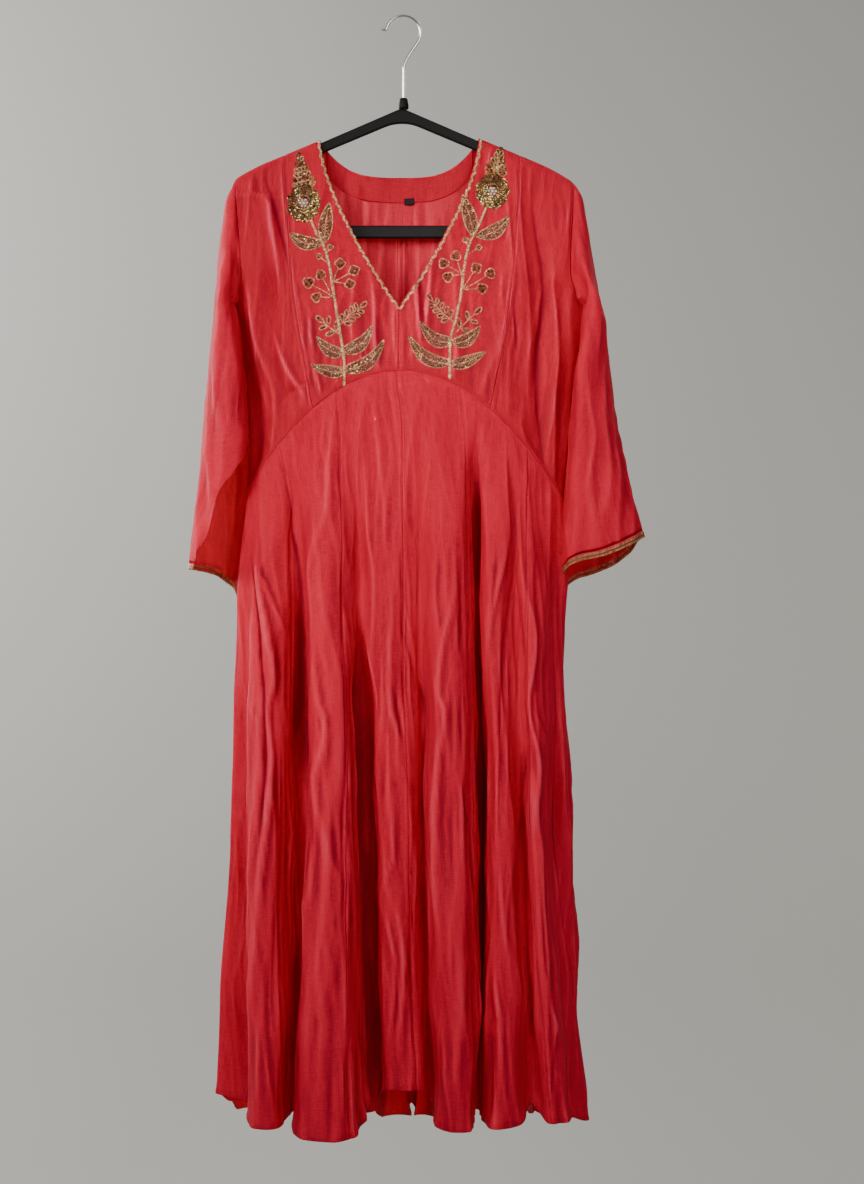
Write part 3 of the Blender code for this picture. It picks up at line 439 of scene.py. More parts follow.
def creaseHeight(creases, x, z):
    shape = creaseShape
    total = np.zeros(np.broadcast(x, z).shape)
    for line, wide, height in creases:
        xs, zs = [p[0] for p in line][::-1], [p[1] for p in line][::-1]
        low, high = zs[0], zs[-1]
        fade = min(shape["fade"] * (high - low), shape["fadeMost"]) + shape["fadeLeast"]
        near = (z > low - fade) & (z < high + fade) & (np.abs(x - np.mean(xs)) < shape["reach"])
        if not near.any():
            continue
        xn, zn = x[near], z[near]
        middle = curveThrough(zs, xs, zn)
        lean = (curveThrough(zs, xs, zn + 2) - curveThrough(zs, xs, zn - 2)) / 4
        aside = (xn - middle) / np.sqrt(1 + lean**2)
        ends = ease((zn - low + fade) / (2 * fade)) * ease((high + fade - zn) / (2 * fade))
        longLeft = ((aside < 0) == (height > 0)) ^ (wide < 0)
        flank = abs(wide) * np.where(longLeft, shape["long"], shape["steep"])
        total[near] += height * ends * np.exp(shape["crest"] - np.hypot(aside / flank, shape["crest"]))
    return total


def spareCreases(seed, count, xRange, zRange, height):
    # creases of the same kinds for a side that nothing else places
    rng = np.random.default_rng(seed)
    draw = lambda name: rng.uniform(*spareShape[name])
    made = []
    for _ in range(count):
        x, z = rng.uniform(*xRange), rng.uniform(min(zRange), max(zRange))
        length, lean = draw("length"), draw("lean")
        bow = draw("bow")
        line = tuple((x + lean * length * t + bow * math.sin(math.pi * t), z - length * t)
                     for t in (0, 0.33, 0.66, 1))
        made.append((line, draw("width"), height * draw("height") * rng.choice((-1, 1, 1))))
    return tuple(made)


def looseness(points, seed, across, along, waves=22):
    # a sum of long waves: cloth that isn't pulled flat
    rng = np.random.default_rng(seed)
    total = np.zeros(points.shape[:-1])
    for _ in range(waves):
        turn = rng.uniform(0, tau)
        way = np.array((math.cos(turn), math.sin(turn), 0)) * rng.uniform(0.5, 1.3) / across
        way[2] = rng.uniform(-1.3, 1.3) / along
        total += np.sin(points @ way * tau + rng.uniform(0, tau))
    return total / math.sqrt(waves)


bodiceLoose = ({"seed": 11, "across": 70, "along": 190, "height": 0.8},
               {"seed": 12, "across": 54, "along": 280, "height": 3.0, "crisp": 0.08},
               {"seed": 13, "across": 20, "along": 150, "height": 0.6, "crisp": 0.12})
skirtLoose = ({"seed": 21, "across": 60, "along": 320, "height": 1.3},
              {"seed": 22, "across": 46, "along": 330, "height": 3.0, "crisp": 0.07},
              {"seed": 23, "across": 20, "along": 150, "height": 1.1, "crisp": 0.10})
sleeveLoose = ({"seed": 31, "across": 60, "along": 160, "height": 1.2},
               {"seed": 32, "across": 42, "along": 190, "height": 2.6, "crisp": 0.08},
               {"seed": 33, "across": 18, "along": 90, "height": 0.7, "crisp": 0.12})


def looseHeight(points, kinds):
    # plain waves, or waves folded into crisp ridges where the kind says so
    total = 0
    for kind in kinds:
        waves = looseness(points, kind["seed"], kind["across"], kind["along"])
        if kind.get("crisp"):
            waves = 0.6 - np.hypot(waves, kind["crisp"])
        total = total + kind["height"] * waves
    return total


backCreases = spareCreases(5, 16, (-170, 170), (-250, -470), 1.5) + (
    (((1, -262), (6, -300), (4, -350), (0, -430)), 4, -1.6),
    (((14, -236), (20, -290), (12, -380)), 6, 1.5),
    (((-34, -236), (-28, -280), (-36, -340)), 6, 1.3),
    (((52, -232), (44, -290), (50, -360)), 5, -1.2),
)


# the creases die out over these mm towards the shoulder, the side and the seam below
bodiceCloth = {"creaseDepth": 3.1, "shoulder": 22, "side": 16, "seam": 16}


def bodiceSurface(x, z, back, out=0.0):
    # the bodice's cloth with its creases, and its normal
    x, z = np.broadcast_arrays(np.asarray(x, float), np.asarray(z, float))
    plain = bodyPoint(x, z, back, wallGap)
    normal = bodyNormal(x, z, back, wallGap)
    calm = ease((shoulderAt(x) - z) / bodiceCloth["shoulder"])
    calm = calm * ease((halfWidth(x, z) - np.abs(x)) / bodiceCloth["side"])
    calm = calm * ease((z - archAt(x, back)) / bodiceCloth["seam"])
    lift = bodiceCloth["creaseDepth"] * creaseHeight(backCreases if back else bodiceCreases, x, z)
    lift = lift + looseHeight(plain, bodiceLoose)
    return plain + normal * (lift * calm + out)[..., None], normal


# hip and calm are shares of the skirt's height: where the folds' second place is read, and where they start
skirt = {"hip": 0.35, "hem": -1366.0, "tall": 760.0, "lobeLevel": 1.6, "steepest": 3.5, "calm": 0.08,
         "creaseDepth": 1.6}
# a fold's x at the seam, hip and hem, how far it stands out, where it begins, how early it grows, how round
# it is and how far its hem is lifted
foldColumns = ("seam", "hip", "hem", "out", "begins", "early", "round", "lift")
frontFolds = (
    (-197, -208, -230, 8, 0.00, 1.0, 1.0, 24),
    (-192, -193, -195, -18, 0.10, 1.6, 0.9, 16),
    (-182, -171, -165, 37, 0.05, 2.0, 1.6, 0),
    (-134, -119, -134, -26, 0.06, 2.8, 0.5, 8),
    (-88, -86, -92, 46, 0.00, 1.4, 1.9, -8),
    (-56, -49, -35, -31, 0.02, 1.7, 0.7, 26),
    (-14, -11, 3, -6, 0.00, 1.0, 2.4, 40),
    (24, 23, 36, -33, 0.10, 2.0, 0.5, 22),
    (58, 60, 66, 36, 0.03, 1.6, 1.8, 0),
    (88, 96, 92, -29, 0.00, 3.2, 0.35, 12),
    (112, 119, 120, 30, 0.03, 1.8, 1.6, 2),
    (138, 143, 160, 2, 0.05, 1.8, 0.9, 22),
    (161, 158, 191, 33, 0.03, 1.8, 1.5, 2),
    (188, 187, 208, 2, 0.10, 2.0, 0.8, 0),
    (204, 206, 230, 12, 0.00, 1.0, 1.0, -8),
)
backShares = {"seam": 0.88, "hip": 0.92}
backFoldColumns = ("hem", "out", "begins", "early", "round", "lift")
backFolds = (
    (214, -8, 0.12, 1.6, 1.0, -4),
    (195, 34, 0.06, 1.8, 1.5, -22),
    (168, -20, 0.04, 2.4, 0.8, -12),
    (140, 36, 0.02, 1.5, 1.7, -26),
    (111, -24, 0.08, 2.2, 0.8, -14),
    (78, 34, 0.03, 1.6, 1.8, -28),
    (49, -30, 0.02, 2.8, 0.8, -18),
    (27, 22, 0.06, 1.4, 1.3, -34),
    (11, -26, 0.10, 1.8, 0.8, -6),
    (-6, 20, 0.04, 1.6, 1.3, -34),
    (-35, -30, 0.02, 3.0, 0.8, -16),
    (-69, 36, 0.05, 1.5, 1.8, -28),
    (-101, -26, 0.03, 2.2, 0.8, -14),
    (-132, 34, 0.06, 1.7, 1.7, -24),
    (-161, -22, 0.05, 2.6, 0.8, -12),
    (-190, 32, 0.04, 1.6, 1.5, -18),
    (-214, -8, 0.10, 1.6, 1.0, 4),
)
goreSeams = (0, 2.7, 4.25, 6.2, 8.45, 11.8, 14, 17.1, 20.2, 23.4, 26.3, 29.4, 32)
goreNodes = ("front_far_left", "front_left", "front_mid_left", "front_mid_right", "front_right",
             "front_far_right", "back_far_right", "back_right", "back_mid_right", "back_mid_left",
             "back_left", "back_far_left")

folds = [dict(zip(foldColumns, row)) | {"back": False} for row in frontFolds]
for values in backFolds:
    row = dict(zip(backFoldColumns, values)) | {"back": True}
    row["seam"] = row["hem"] * backShares["seam"]
    row["hip"] = row["hem"] * backShares["hip"]
    folds.append(row)


def foldTracks(downs):
    # for each fold: its place seen from above, the way the cloth runs there, and its angle
    hip = skirt["hip"]
    places, runs, angles = [], [], []
    for fold in folds:
        x = (fold["seam"] * (downs - hip) * (downs - 1) / hip
             + fold["hip"] * downs * (1 - downs) / (hip * (1 - hip))
             + fold["hem"] * downs * (downs - hip) / (1 - hip))
        z = mix(archAt(fold["seam"], fold["back"]), skirt["hem"] + fold["lift"], downs)
        share = np.minimum(np.abs(x) / halfWidth(x, z), 1.0)
        grown = np.clip((downs - fold["begins"]) / (1 - fold["begins"]), 0, 1)
        out = fold["out"] * (1 - (1 - grown) ** fold["early"]) * ease(grown * 8)
        facing = 1 if fold["back"] else -1
        rise = np.sqrt(1 - share**2) * -facing
        towards = np.copysign(share, x)
        places.append(np.stack((x, facing * (depthAt(x, z, fold["back"]) + out)), -1))
        runs.append(unit(np.stack((halfWidth(x, z) * rise, bodyRead("front", z) * towards), -1)))
        angles.append(np.arctan2(rise, -towards) % tau)
    return np.array(places), np.array(runs), np.array(angles)


def skirtGrid(places, downs):
    # rows run down the skirt, columns run round it
    downs = np.asarray(downs, float)
    tracks, runs, angles = foldTracks(downs)
    count = len(folds)
    places = np.asarray(places, float)
    first = np.floor(places).astype(int) % count
    second = (first + 1) % count
    t = (places - np.floor(places))[:, None]
    backs, lifts, outs, rounds = (np.array([fold[key] for fold in folds])
                                  for key in ("back", "lift", "out", "round"))
    step = tracks[second] - tracks[first]
    reach = np.linalg.norm(step, axis=-1)

    def pull(fold):
        # how strongly the cloth runs on past the fold: a low round gives a sharp fold
        most = skirt["steepest"] * np.abs((step * runs[fold]).sum(-1))
        return np.minimum(rounds[fold][:, None] * reach, most)[..., None] * runs[fold]

    folded = curveBetween(tracks[first], pull(first), tracks[second], pull(second), t[..., None])
    back = np.where(t[:, 0] < 0.5, backs[first], backs[second])
    back |= (first == len(frontFolds) - 1) | (first == count - 1)
    back = back[:, None]
    startAngle, endAngle = angles[first], angles[second].copy()
    endAngle[first == count - 1] = tau
    endAngle = np.where(endAngle < startAngle, endAngle + tau, endAngle)
    angle = mix(startAngle, endAngle, t)
    seamHeights = np.array([float(archAt(f["seam"], f["back"])) for f in folds])
    seamZ = mix(seamHeights[first], seamHeights[second], t[:, 0])[:, None] + angle * 0
    for _ in range(3):
        seamX = -halfWidth(-np.cos(angle), seamZ) * np.cos(angle)
        seamZ = archAt(seamX, back)
    level = skirt["lobeLevel"]
    turnedIn = ease(np.where((outs[first] > outs[second])[:, None], t**level, 1 - (1 - t) ** level))
    hemZ = skirt["hem"] + mix(lifts[first][:, None], lifts[second][:, None], turnedIn)
    z = mix(seamZ, hemZ, downs[None, :])
    plainX = -halfWidth(-np.cos(angle), z) * np.cos(angle)
    plain = bodyPoint(plainX, z, back, wallGap)
    flat = mix(plain[..., :2], folded, ease(downs / skirt["calm"])[None, :, None])
    grid = np.concatenate((flat, z[..., None]), -1)
    return grid.transpose(1, 0, 2), np.broadcast_to(back, z.shape).T


# x of both edges, depth from front to back, and the degrees that are cut away where the cuff gapes
sleeveColumns = ("height", "inner", "outer", "deep", "gapeFront", "gapeBack")
sleeveTables = {
    "left": (
        (-745, -208, -270, 62, 150, 24),
        (-689, -205, -266, 66, 146, 22),
        (-641, -202, -261, 66, 118, 18),
        (-617, -197, -258, 65, 112, 15),
        (-596, -196, -255, 64, 104, 12),
        (-567, -194.5, -251, 62, 76, 8),
        (-534, -190, -248.5, 61, 24, 3),
        (-516, -191, -247, 61, 0.5, 0.5),
        (-454, -194, -240.5, 66, 0.5, 0.5),
        (-391, -203, -236, 70, 0.5, 0.5),
        (-356, -213, -234, 66, 0.5, 0.5),
        (-296, -201, -229, 52, 0.5, 0.5),
        (-256, -200, -224, 36, 0.5, 0.5),
        (-228, -200, -220, 22, 0.5, 0.5),
        (-201, -200, -210, 8, 0.5, 0.5),
    ),
    "right": (
        (-735, 205, 320, 40, 28, 42),
        (-690, 200.5, 312, 42, 22, 34),
        (-649, 201, 303, 46, 14, 20),
        (-622, 203, 296, 49, 8, 12),
        (-574, 205, 284, 54, 2, 3),
        (-526, 209, 272, 60, 0.5, 0.5),
        (-464, 213, 261, 66, 0.5, 0.5),
        (-391, 224, 254, 70, 0.5, 0.5),
        (-356, 232, 248, 66, 0.5, 0.5),
        (-296, 214, 241, 52, 0.5, 0.5),
        (-256, 208, 236, 36, 0.5, 0.5),
        (-228, 206, 232, 22, 0.5, 0.5),
        (-203, 206, 217, 8, 0.5, 0.5),
    ),
}
sleeve = {"backward": 12.0, "cap": 0.4, "clear": 0.2, "over": 1.0, "side": 0.3, "flat": 0.8, "lean": 0.45,
          "long": 345.0, "around": 330.0, "turned": 7.5}
cuffPlaces = (0.0, 0.25, 0.5, 0.75, 1.0)  # shares of the way round, from the body over the front
cuffHeights = {"left": (-690, -691, -697, -722, -740), "right": (-696, -676, -650, -690, -722)}


def sleeveSection(side, turn, z):
    read = lambda name: columnOf(sleeveTables[side], sleeveColumns, name, z)
    inner, outer = read("inner"), read("outer")
    angle = mix(np.radians(read("gapeFront")), tau - np.radians(read("gapeBack")), turn)
    flat = lambda turned: np.sign(turned) * np.abs(turned) ** sleeve["flat"]
    across = flat(np.cos(angle))
    across = across + sleeve["lean"] * (1 - across**2)  # fullest towards the body
    x = (inner + outer) / 2 + (inner - outer) / 2 * across
    return np.stack((x, sleeve["backward"] - read("deep") * flat(np.sin(angle)), z), -1)


def armholePoint(side, turn):
    sign = -1 if side == "left" else 1
    z = mix(underarm, shoulderAt(sideEdge(armholeTop, sign)), 1 - np.abs(2 * turn - 1))
    made = bodyPoint(sideEdge(z, sign), z, turn > 0.5, wallGap)
    made[..., 0] += sign * sleeve["clear"]
    return made


def sleeveGrid(side, turns, downs):
    sign = -1 if side == "left" else 1
    turn, down = np.meshgrid(turns, downs)
    start = armholePoint(side, turn)
    z = mix(start[..., 2], curveThrough(cuffPlaces, cuffHeights[side], turn), down)
    made = sleeveSection(side, turn, z)
    atArmhole = sleeveSection(side, turn, start[..., 2])
    made += (start - atArmhole) * (1 - ease(down / sleeve["cap"]))[..., None]
    x = np.abs(made[..., 0])
    body = halfWidth(made[..., 0], np.minimum(z, underarm)) + sleeve["side"]
    low = (x < body) & (z < underarm)
    made[..., 0] = np.where(low, sign * body, made[..., 0])
    over = ~low & (x < np.abs(sideEdge(z, sign)))
    behind = turn > 0.5
    least = depthAt(made[..., 0], z, behind) + sleeve["over"]
    y = np.where(behind, np.maximum(made[..., 1], least), np.minimum(made[..., 1], -least))
    made[..., 1] = np.where(over, y, made[..., 1])
    return made


def gridNormals(grid, closed=False):
    wide = np.concatenate((grid[:, -2:-1], grid, grid[:, 1:2]), 1) if closed else grid
    across = np.gradient(wide, axis=1)
    if closed:
        across = across[:, 1:-1]
    down = np.gradient(grid, axis=0)
    return unit(np.cross(down, across))


def startMaterial(name):
    look = bpy.data.materials.new(name)
    look.use_nodes = True
    return look, look.node_tree, look.node_tree.nodes["Principled BSDF"]


def setStops(band, stops):
    while len(band.elements) < len(stops):
        band.elements.new(0.5)
    for element, (place, colour) in zip(band.elements, stops):
        element.position = place
        element.color = linearColour(colour)


clothSetup = {
    "dark": "#AC1B33", "middle": "#D41E3C", "light": "#E4324A", "through": "#FF6E7A",
    # the two outermost shades are painted light: shade for the hollows of creases and a highlight for their
    # crests; crease sets how strongly they are painted
    "hollow": "#860822", "rubbed": "#EE4A64", "sheenTint": "#FF9C92",
    "shades": ((0.2, "hollow"), (0.45, "dark"), (0.66, "middle"), (0.95, "light"), (1.25, "rubbed")),
    "roughness": 0.62, "shine": 0.07, "sheen": 0.03, "seeThrough": 0.33, "crease": 1.1,
    # length, width in mm, detail and roughness of the noise
    "slub": (11, 1.1, 3.0, 0.6),  # thick places in the weft, drawn over three threads
    "warp": (1.1, 18, 2.0, 0.55),  # warp ends, drawn over three threads
    "crinkle": (5.5, 85, 3.0, 0.55),  # fine lengthwise crinkle from washing
    "cloud": (120, 160, 2.0, 0.5),  # uneven dye
    "hemBand": (),
}


def wovenCottonSilk(name, setup):
    # cotton silk, plain woven from slubby yarn: a dry surface with short pale streaks and a soft edge sheen
    look, tree, shader = startMaterial(name)
    uv = addNode(tree, "ShaderNodeTexCoord").outputs["UV"]  # metres along the weft and the warp

    def streaks(kind):
        along, across, detail, rough = setup[kind]
        scale = {"Scale": (1 / (along * mm), 1 / (across * mm), 1)}
        scaled = addNode(tree, "ShaderNodeMapping", scale, {"Vector": uv}).outputs[0]
        noise = {"Scale": 1.0, "Detail": detail, "Roughness": rough}
        return addNode(tree, "ShaderNodeTexNoise", noise, {"Vector": scaled}).outputs["Fac"]

    slub, warp, crinkle, cloud = (streaks(kind) for kind in ("slub", "warp", "crinkle", "cloud"))
    threads = addNode(tree, "ShaderNodeMath", {"operation": "ADD"}, {0: slub, 1: warp}).outputs[0]
    # painted light: the crests of creases are painted paler, a painted highlight, and their hollows darker,
    # painted shade
    crest = addNode(tree, "ShaderNodeAttribute", {"attribute_name": "crest"}).outputs["Fac"]
    tone = addNode(tree, "ShaderNodeMath", {"operation": "MULTIPLY_ADD", 1: 0.72, 2: -0.22},
                   {0: threads}).outputs[0]
    for source, strength in ((cloud, 0.35), (crest, setup["crease"])):
        tone = addNode(tree, "ShaderNodeMath", {"operation": "MULTIPLY_ADD", 1: strength},
                       {0: source, 2: tone}).outputs[0]
    tone = addNode(tree, "ShaderNodeMath", {"operation": "SUBTRACT", 1: setup["crease"] / 2},
                   {0: tone}).outputs[0]
    for top, darker in setup["hemBand"]:
        # painted shade: cloth doubled behind the hem band and again in the turned edge lets less light come
        # through, so these bands are drawn darker
        height = addNode(tree, "ShaderNodeSeparateXYZ", links={"Vector": uv}).outputs["Y"]
        edge = {"From Min": (top - 0.8) * mm, "From Max": (top + 0.8) * mm, "To Min": -darker, "To Max": 0.0}
        above = addNode(tree, "ShaderNodeMapRange", edge, {"Value": height}).outputs[0]
        tone = addNode(tree, "ShaderNodeMath", {"operation": "ADD"}, {0: tone, 1: above}).outputs[0]
    most = setup["shades"][-1][0]
    tone = addNode(tree, "ShaderNodeMath", {"operation": "DIVIDE", 1: most}, {0: tone}).outputs[0]
    colour = addNode(tree, "ShaderNodeValToRGB", links={"Fac": tone})
    setStops(colour.color_ramp, [(place / most, setup[shade]) for place, shade in setup["shades"]])
    setSockets(shader, {
        "Roughness": setup["roughness"], "IOR": 1.53, "Specular IOR Level": setup["shine"],
        "Sheen Weight": setup["sheen"], "Sheen Roughness": 0.38,
        "Sheen Tint": linearColour(setup["sheenTint"])})
    fine = addNode(tree, "ShaderNodeBump", {"Strength": 0.34, "Distance": 0.7 * mm}, {"Height": threads})
    folds = addNode(tree, "ShaderNodeBump", {"Strength": 0.42, "Distance": 1.5 * mm},
                    {"Height": crinkle, "Normal": fine.outputs[0]})
    tree.links.new(colour.outputs["Color"], shader.inputs["Base Color"])
    tree.links.new(folds.outputs[0], shader.inputs["Normal"])
    glow = addNode(tree, "ShaderNodeBsdfTranslucent", {"Color": linearColour(setup["through"])})
    both = addNode(tree, "ShaderNodeMixShader", {0: setup["seeThrough"]},
                   {1: shader.outputs[0], 2: glow.outputs[0]})
    tree.links.new(both.outputs[0], tree.nodes["Material Output"].inputs["Surface"])
    return look


def metalThread(name, dark, light, roughness, metallic):
    # metallised yarn wound on a core: many small glints, each stitch of its own tone
    look, tree, shader = startMaterial(name)
    spot = addNode(tree, "ShaderNodeNewGeometry").outputs["Random Per Island"]
    where = addNode(tree, "ShaderNodeTexCoord").outputs["Object"]
    grain = addNode(tree, "ShaderNodeTexNoise", {"Scale": 1 / (1.1 * mm), "Detail": 2.0}, {"Vector": where})
    tone = addNode(tree, "ShaderNodeMath", {"operation": "MULTIPLY_ADD", 1: 0.55, 2: -0.02}, {0: spot})
    tone = addNode(tree, "ShaderNodeMath", {"operation": "MULTIPLY_ADD", 1: 0.5},
                   {0: grain.outputs["Fac"], 2: tone.outputs[0]})
    colour = addNode(tree, "ShaderNodeValToRGB", links={"Fac": tone.outputs[0]})
    setStops(colour.color_ramp, ((0.2, dark), (0.75, light)))
    bump = addNode(tree, "ShaderNodeBump", {"Strength": 0.35, "Distance": 0.0004},
                   {"Height": grain.outputs["Fac"]})
    setSockets(shader, {"Metallic": metallic, "Roughness": roughness})
    tree.links.new(colour.outputs["Color"], shader.inputs["Base Color"])
    tree.links.new(bump.outputs[0], shader.inputs["Normal"])
    return look


def plainFinish(name, colour, roughness, metallic=0.0, grain=0.0, size=1.0, ior=1.5, coat=0.0, shine=0.5,
                worn=0.8):
    # one colour with a fine grain, size in mm, and slow patches that are darker by worn
    look, tree, shader = startMaterial(name)
    setSockets(shader, {"Specular IOR Level": shine, "Roughness": roughness, "Metallic": metallic, "IOR": ior,
                        "Coat Weight": coat})
    where = addNode(tree, "ShaderNodeTexCoord").outputs["Object"]
    noise = addNode(tree, "ShaderNodeTexNoise", {"Scale": 1 / (size * mm), "Detail": 3.0}, {"Vector": where})
    wear = addNode(tree, "ShaderNodeTexNoise", {"Scale": 1 / (38 * mm), "Detail": 4.0}, {"Vector": where})
    base = linearColour(colour)
    darker = tuple(c * worn for c in base[:3]) + (1.0,)
    tint = addNode(tree, "ShaderNodeMixRGB", {"Color1": darker, "Color2": base}, {"Fac": wear.outputs["Fac"]})
    bump = addNode(tree, "ShaderNodeBump", {"Strength": grain, "Distance": 0.0003},
                   {"Height": noise.outputs["Fac"]})
    tree.links.new(tint.outputs[0], shader.inputs["Base Color"])
    tree.links.new(bump.outputs[0], shader.inputs["Normal"])
    return look


print("materials")
# cotton silk dyed coral red: a dry cloth whose thin single layer glows where light comes through
coral = wovenCottonSilk("wovenCottonSilkCoral", clothSetup)
# its inner side: paler and greyer than the face, a painted haze that stands in for light coming through from
# behind
coralInside = wovenCottonSilk("wovenCottonSilkInside", clothSetup | {
    "dark": "#A82034", "middle": "#C62C40", "light": "#D64456", "seeThrough": 0.3})
# the same cloth over a lining: less glow, darker colours that are painted shade, and a stronger painted
# highlight and shade on its creases
coralBodice = wovenCottonSilk("wovenCottonSilkLined", clothSetup | {
    "dark": "#94142A", "middle": "#BC182E", "light": "#CE283E", "seeThrough": 0.2, "crease": 2.1})
# the skirt's cloth, with painted shade where the hem doubles it and less light comes through. Heights in mm
# above the lower edge
coralSkirt = wovenCottonSilk("wovenCottonSilkSkirt", clothSetup | {"hemBand": ((110, 0.06), (8, 0.08))})
# spun polyester thread: matt and a shade darker than the cloth, so a seam reads as a fine line
sewingThread = plainFinish("spunPolyesterThread", "#A3141D", 0.7, grain=0.3, size=0.4)
# satin stitch padding under the sequins: brownish red with a thready nap that shows in the gaps
satinPadding = plainFinish("satinStitchPadding", "#7E2018", 0.55, grain=0.6, size=0.7)
# zari is metallised film twisted round a core: broken gold glints, rose where the core shows
zariThread = metalThread("zariTwistedThread", "#8A4E30", "#ECC096", 0.38, 0.7)
# zari braid: flatter and yellower than the twisted thread
zariBraid = metalThread("zariBraid", "#7E4E20", "#DDAE6C", 0.38, 0.8)
# antique zari, tarnished: brown with a dull gleam, which sets off the outlines
zariDark = metalThread("antiqueZariFilling", "#2C0A08", "#8E5A3A", 0.36, 0.66)
# sequins pressed from coated film: sharp flashes of olive gold among dark ones
sequinOlive = metalThread("pressedSequinsOlive", "#1E180A", "#C2A862", 0.24, 0.85)
# glass beads lined with gold: small round highlights
beadGold = metalThread("glassBeadsGold", "#8C6A34", "#F0DDA8", 0.16, 0.6)
# cut glass with a foiled back: near white, hard sparkles on flat facets
stone = plainFinish("cutGlassStone", "#F3EEDF", 0.06, metallic=0.35, ior=1.6, coat=0.6)
# polypropylene moulded with a fine spark texture: deep black, hardly any gloss
hangerBlack = plainFinish("mouldedPolypropyleneBlack", "#060505", 0.55, grain=0.12, size=0.9, ior=1.49,
                          shine=0.18)
# steel wire drawn and chromed: bright, with faint draw marks that soften the reflections
hookChrome = plainFinish("drawnSteelWireChromed", "#D9DBDC", 0.14, metallic=1.0, grain=0.04, size=2.0)
# satin woven label: black with a slight ribbed sheen
labelBlack = plainFinish("wovenSatinLabelBlack", "#0B0908", 0.6, grain=0.5, size=0.6, shine=0.2)
# matt background paper: no gloss, almost even
paleFloor = plainFinish("mattPaperPale", "#BEBDB8", 0.9, worn=0.98)

clothWall = 0.75  # thickness of the visible cloth


def settle(piece, node):
    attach(piece, "root")
    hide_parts(node)


def gridFaces(rows, columns, closed=False):
    r = np.arange(rows - 1)[:, None] * columns
    c = np.arange(columns if closed else columns - 1)[None, :]
    right = (c + 1) % columns
    return np.stack((r + c, r + columns + c, r + columns + right, r + right), -1).reshape(-1, 4)


def clothPiece(name, grid, look, uv=None, closed=False, wall=clothWall, offset=0.0, lining=None):
    rows, columns = grid.shape[:2]
    mesh = bpy.data.meshes.new(name)
    faces = gridFaces(rows, columns, closed)
    mesh.from_pydata((grid.reshape(-1, 3) * mm).tolist(), [], faces.tolist())
    if uv is None:
        uv = arcLengths(grid)
    layer = mesh.uv_layers.new(name="weave")
    layer.data.foreach_set("uv", (uv.reshape(-1, 2)[faces.ravel()] * mm).ravel())
    mesh.shade_smooth()
    mesh.materials.append(look)
    made = newObject(name, mesh)
    if wall:
        shell = made.modifiers.new("cloth", "SOLIDIFY")
        shell.thickness = wall * mm
        shell.offset = offset
        shell.use_rim = True
        if lining:
            # the inner side's look, and the way out at each point, which tells the two sides apart
            inner, wayOut = lining
            face = mesh.polygons[len(mesh.polygons) // 2]
            if np.dot(face.normal, wayOut.reshape(-1, 3)[face.vertices[0]]) < 0:
                mesh.materials.clear()
                mesh.materials.append(inner)
                inner = look
            mesh.materials.append(inner)
            shell.material_offset = 1
    return made


creaseShadingGain = 1.1  # how fast the painted highlight on crests and the painted shade in hollows grow as a crease gets sharper


def markCreaseShading(piece, grid, smooth, normals):
    # how far the creases lift each point above its neighbours, 0.5 where there are none. The cloth materials
    # paint crests paler and hollows darker from it: painted highlight and painted shade
    above, gap = 0, 0
    for surface, sign in ((grid, 1), (smooth, -1)):
        left, here, right = surface[:, :-2], surface[:, 1:-1], surface[:, 2:]
        above = above + sign * ((here - (left + right) / 2) * normals[:, 1:-1]).sum(-1)
        gap = np.linalg.norm(right - left, axis=-1) / 2 + 0.4
    values = np.full(grid.shape[:2], 0.5)
    values[:, 1:-1] = np.clip(0.5 + creaseShadingGain * above / gap, 0, 1)
    layer = piece.data.attributes.new("crest", "FLOAT", "POINT")
    layer.data.foreach_set("value", values.ravel().astype(np.float32))


def arcLengths(grid):
    # weave coordinates: across from the middle of each row, and up from the lower edge
    u, v = runAlong(grid, 1), runAlong(grid[::-1])[::-1]
    return np.stack((u - u[:, -1:] / 2, v), -1)


def cutOf(grid):
    # size of the flat piece: widest row, longest column and area
    across = np.linalg.norm(np.diff(grid, axis=1), axis=-1)
    along = np.linalg.norm(np.diff(grid, axis=0), axis=-1)
    wide, long = across.sum(1).max(), along.sum(0).max()
    a = grid[1:, 1:] - grid[:-1, :-1]
    b = grid[1:, :-1] - grid[:-1, 1:]
    area = np.linalg.norm(np.cross(a, b), axis=-1).sum() / 2
    wide = max(wide, area / long)
    return round(wide * mm, 3) + 0.001, round(long * mm, 3) + 0.001, round(area * mm * mm, 4)


cuts = []
leastCut = {"side": 0.0105, "areaShare": 0.31}  # a narrow strip has its edges turned under. Metres


def declareCloth(piece, grid):
    wide, long, area = cutOf(grid)
    wide, long = max(wide, leastCut["side"]), max(long, leastCut["side"])
    area = min(max(area, leastCut["areaShare"] * wide * long), wide * long)
    cuts.append((piece.name, wide, long, area))


def seamDip(distance, deep=0.75, wide=1.5):
    return -deep * np.exp(-((distance / wide) ** 2))


def spread(start, end, step, tight=(1.2, 3.0)):
    # places from start to end, closer together near both ends
    count = max(4, int(round(abs(end - start) / step)))
    inner = np.linspace(0, 1, count + 1)
    edge = np.array(tight) / abs(end - start)
    return start + (end - start) * np.unique(np.concatenate((inner, edge, 1 - edge)))


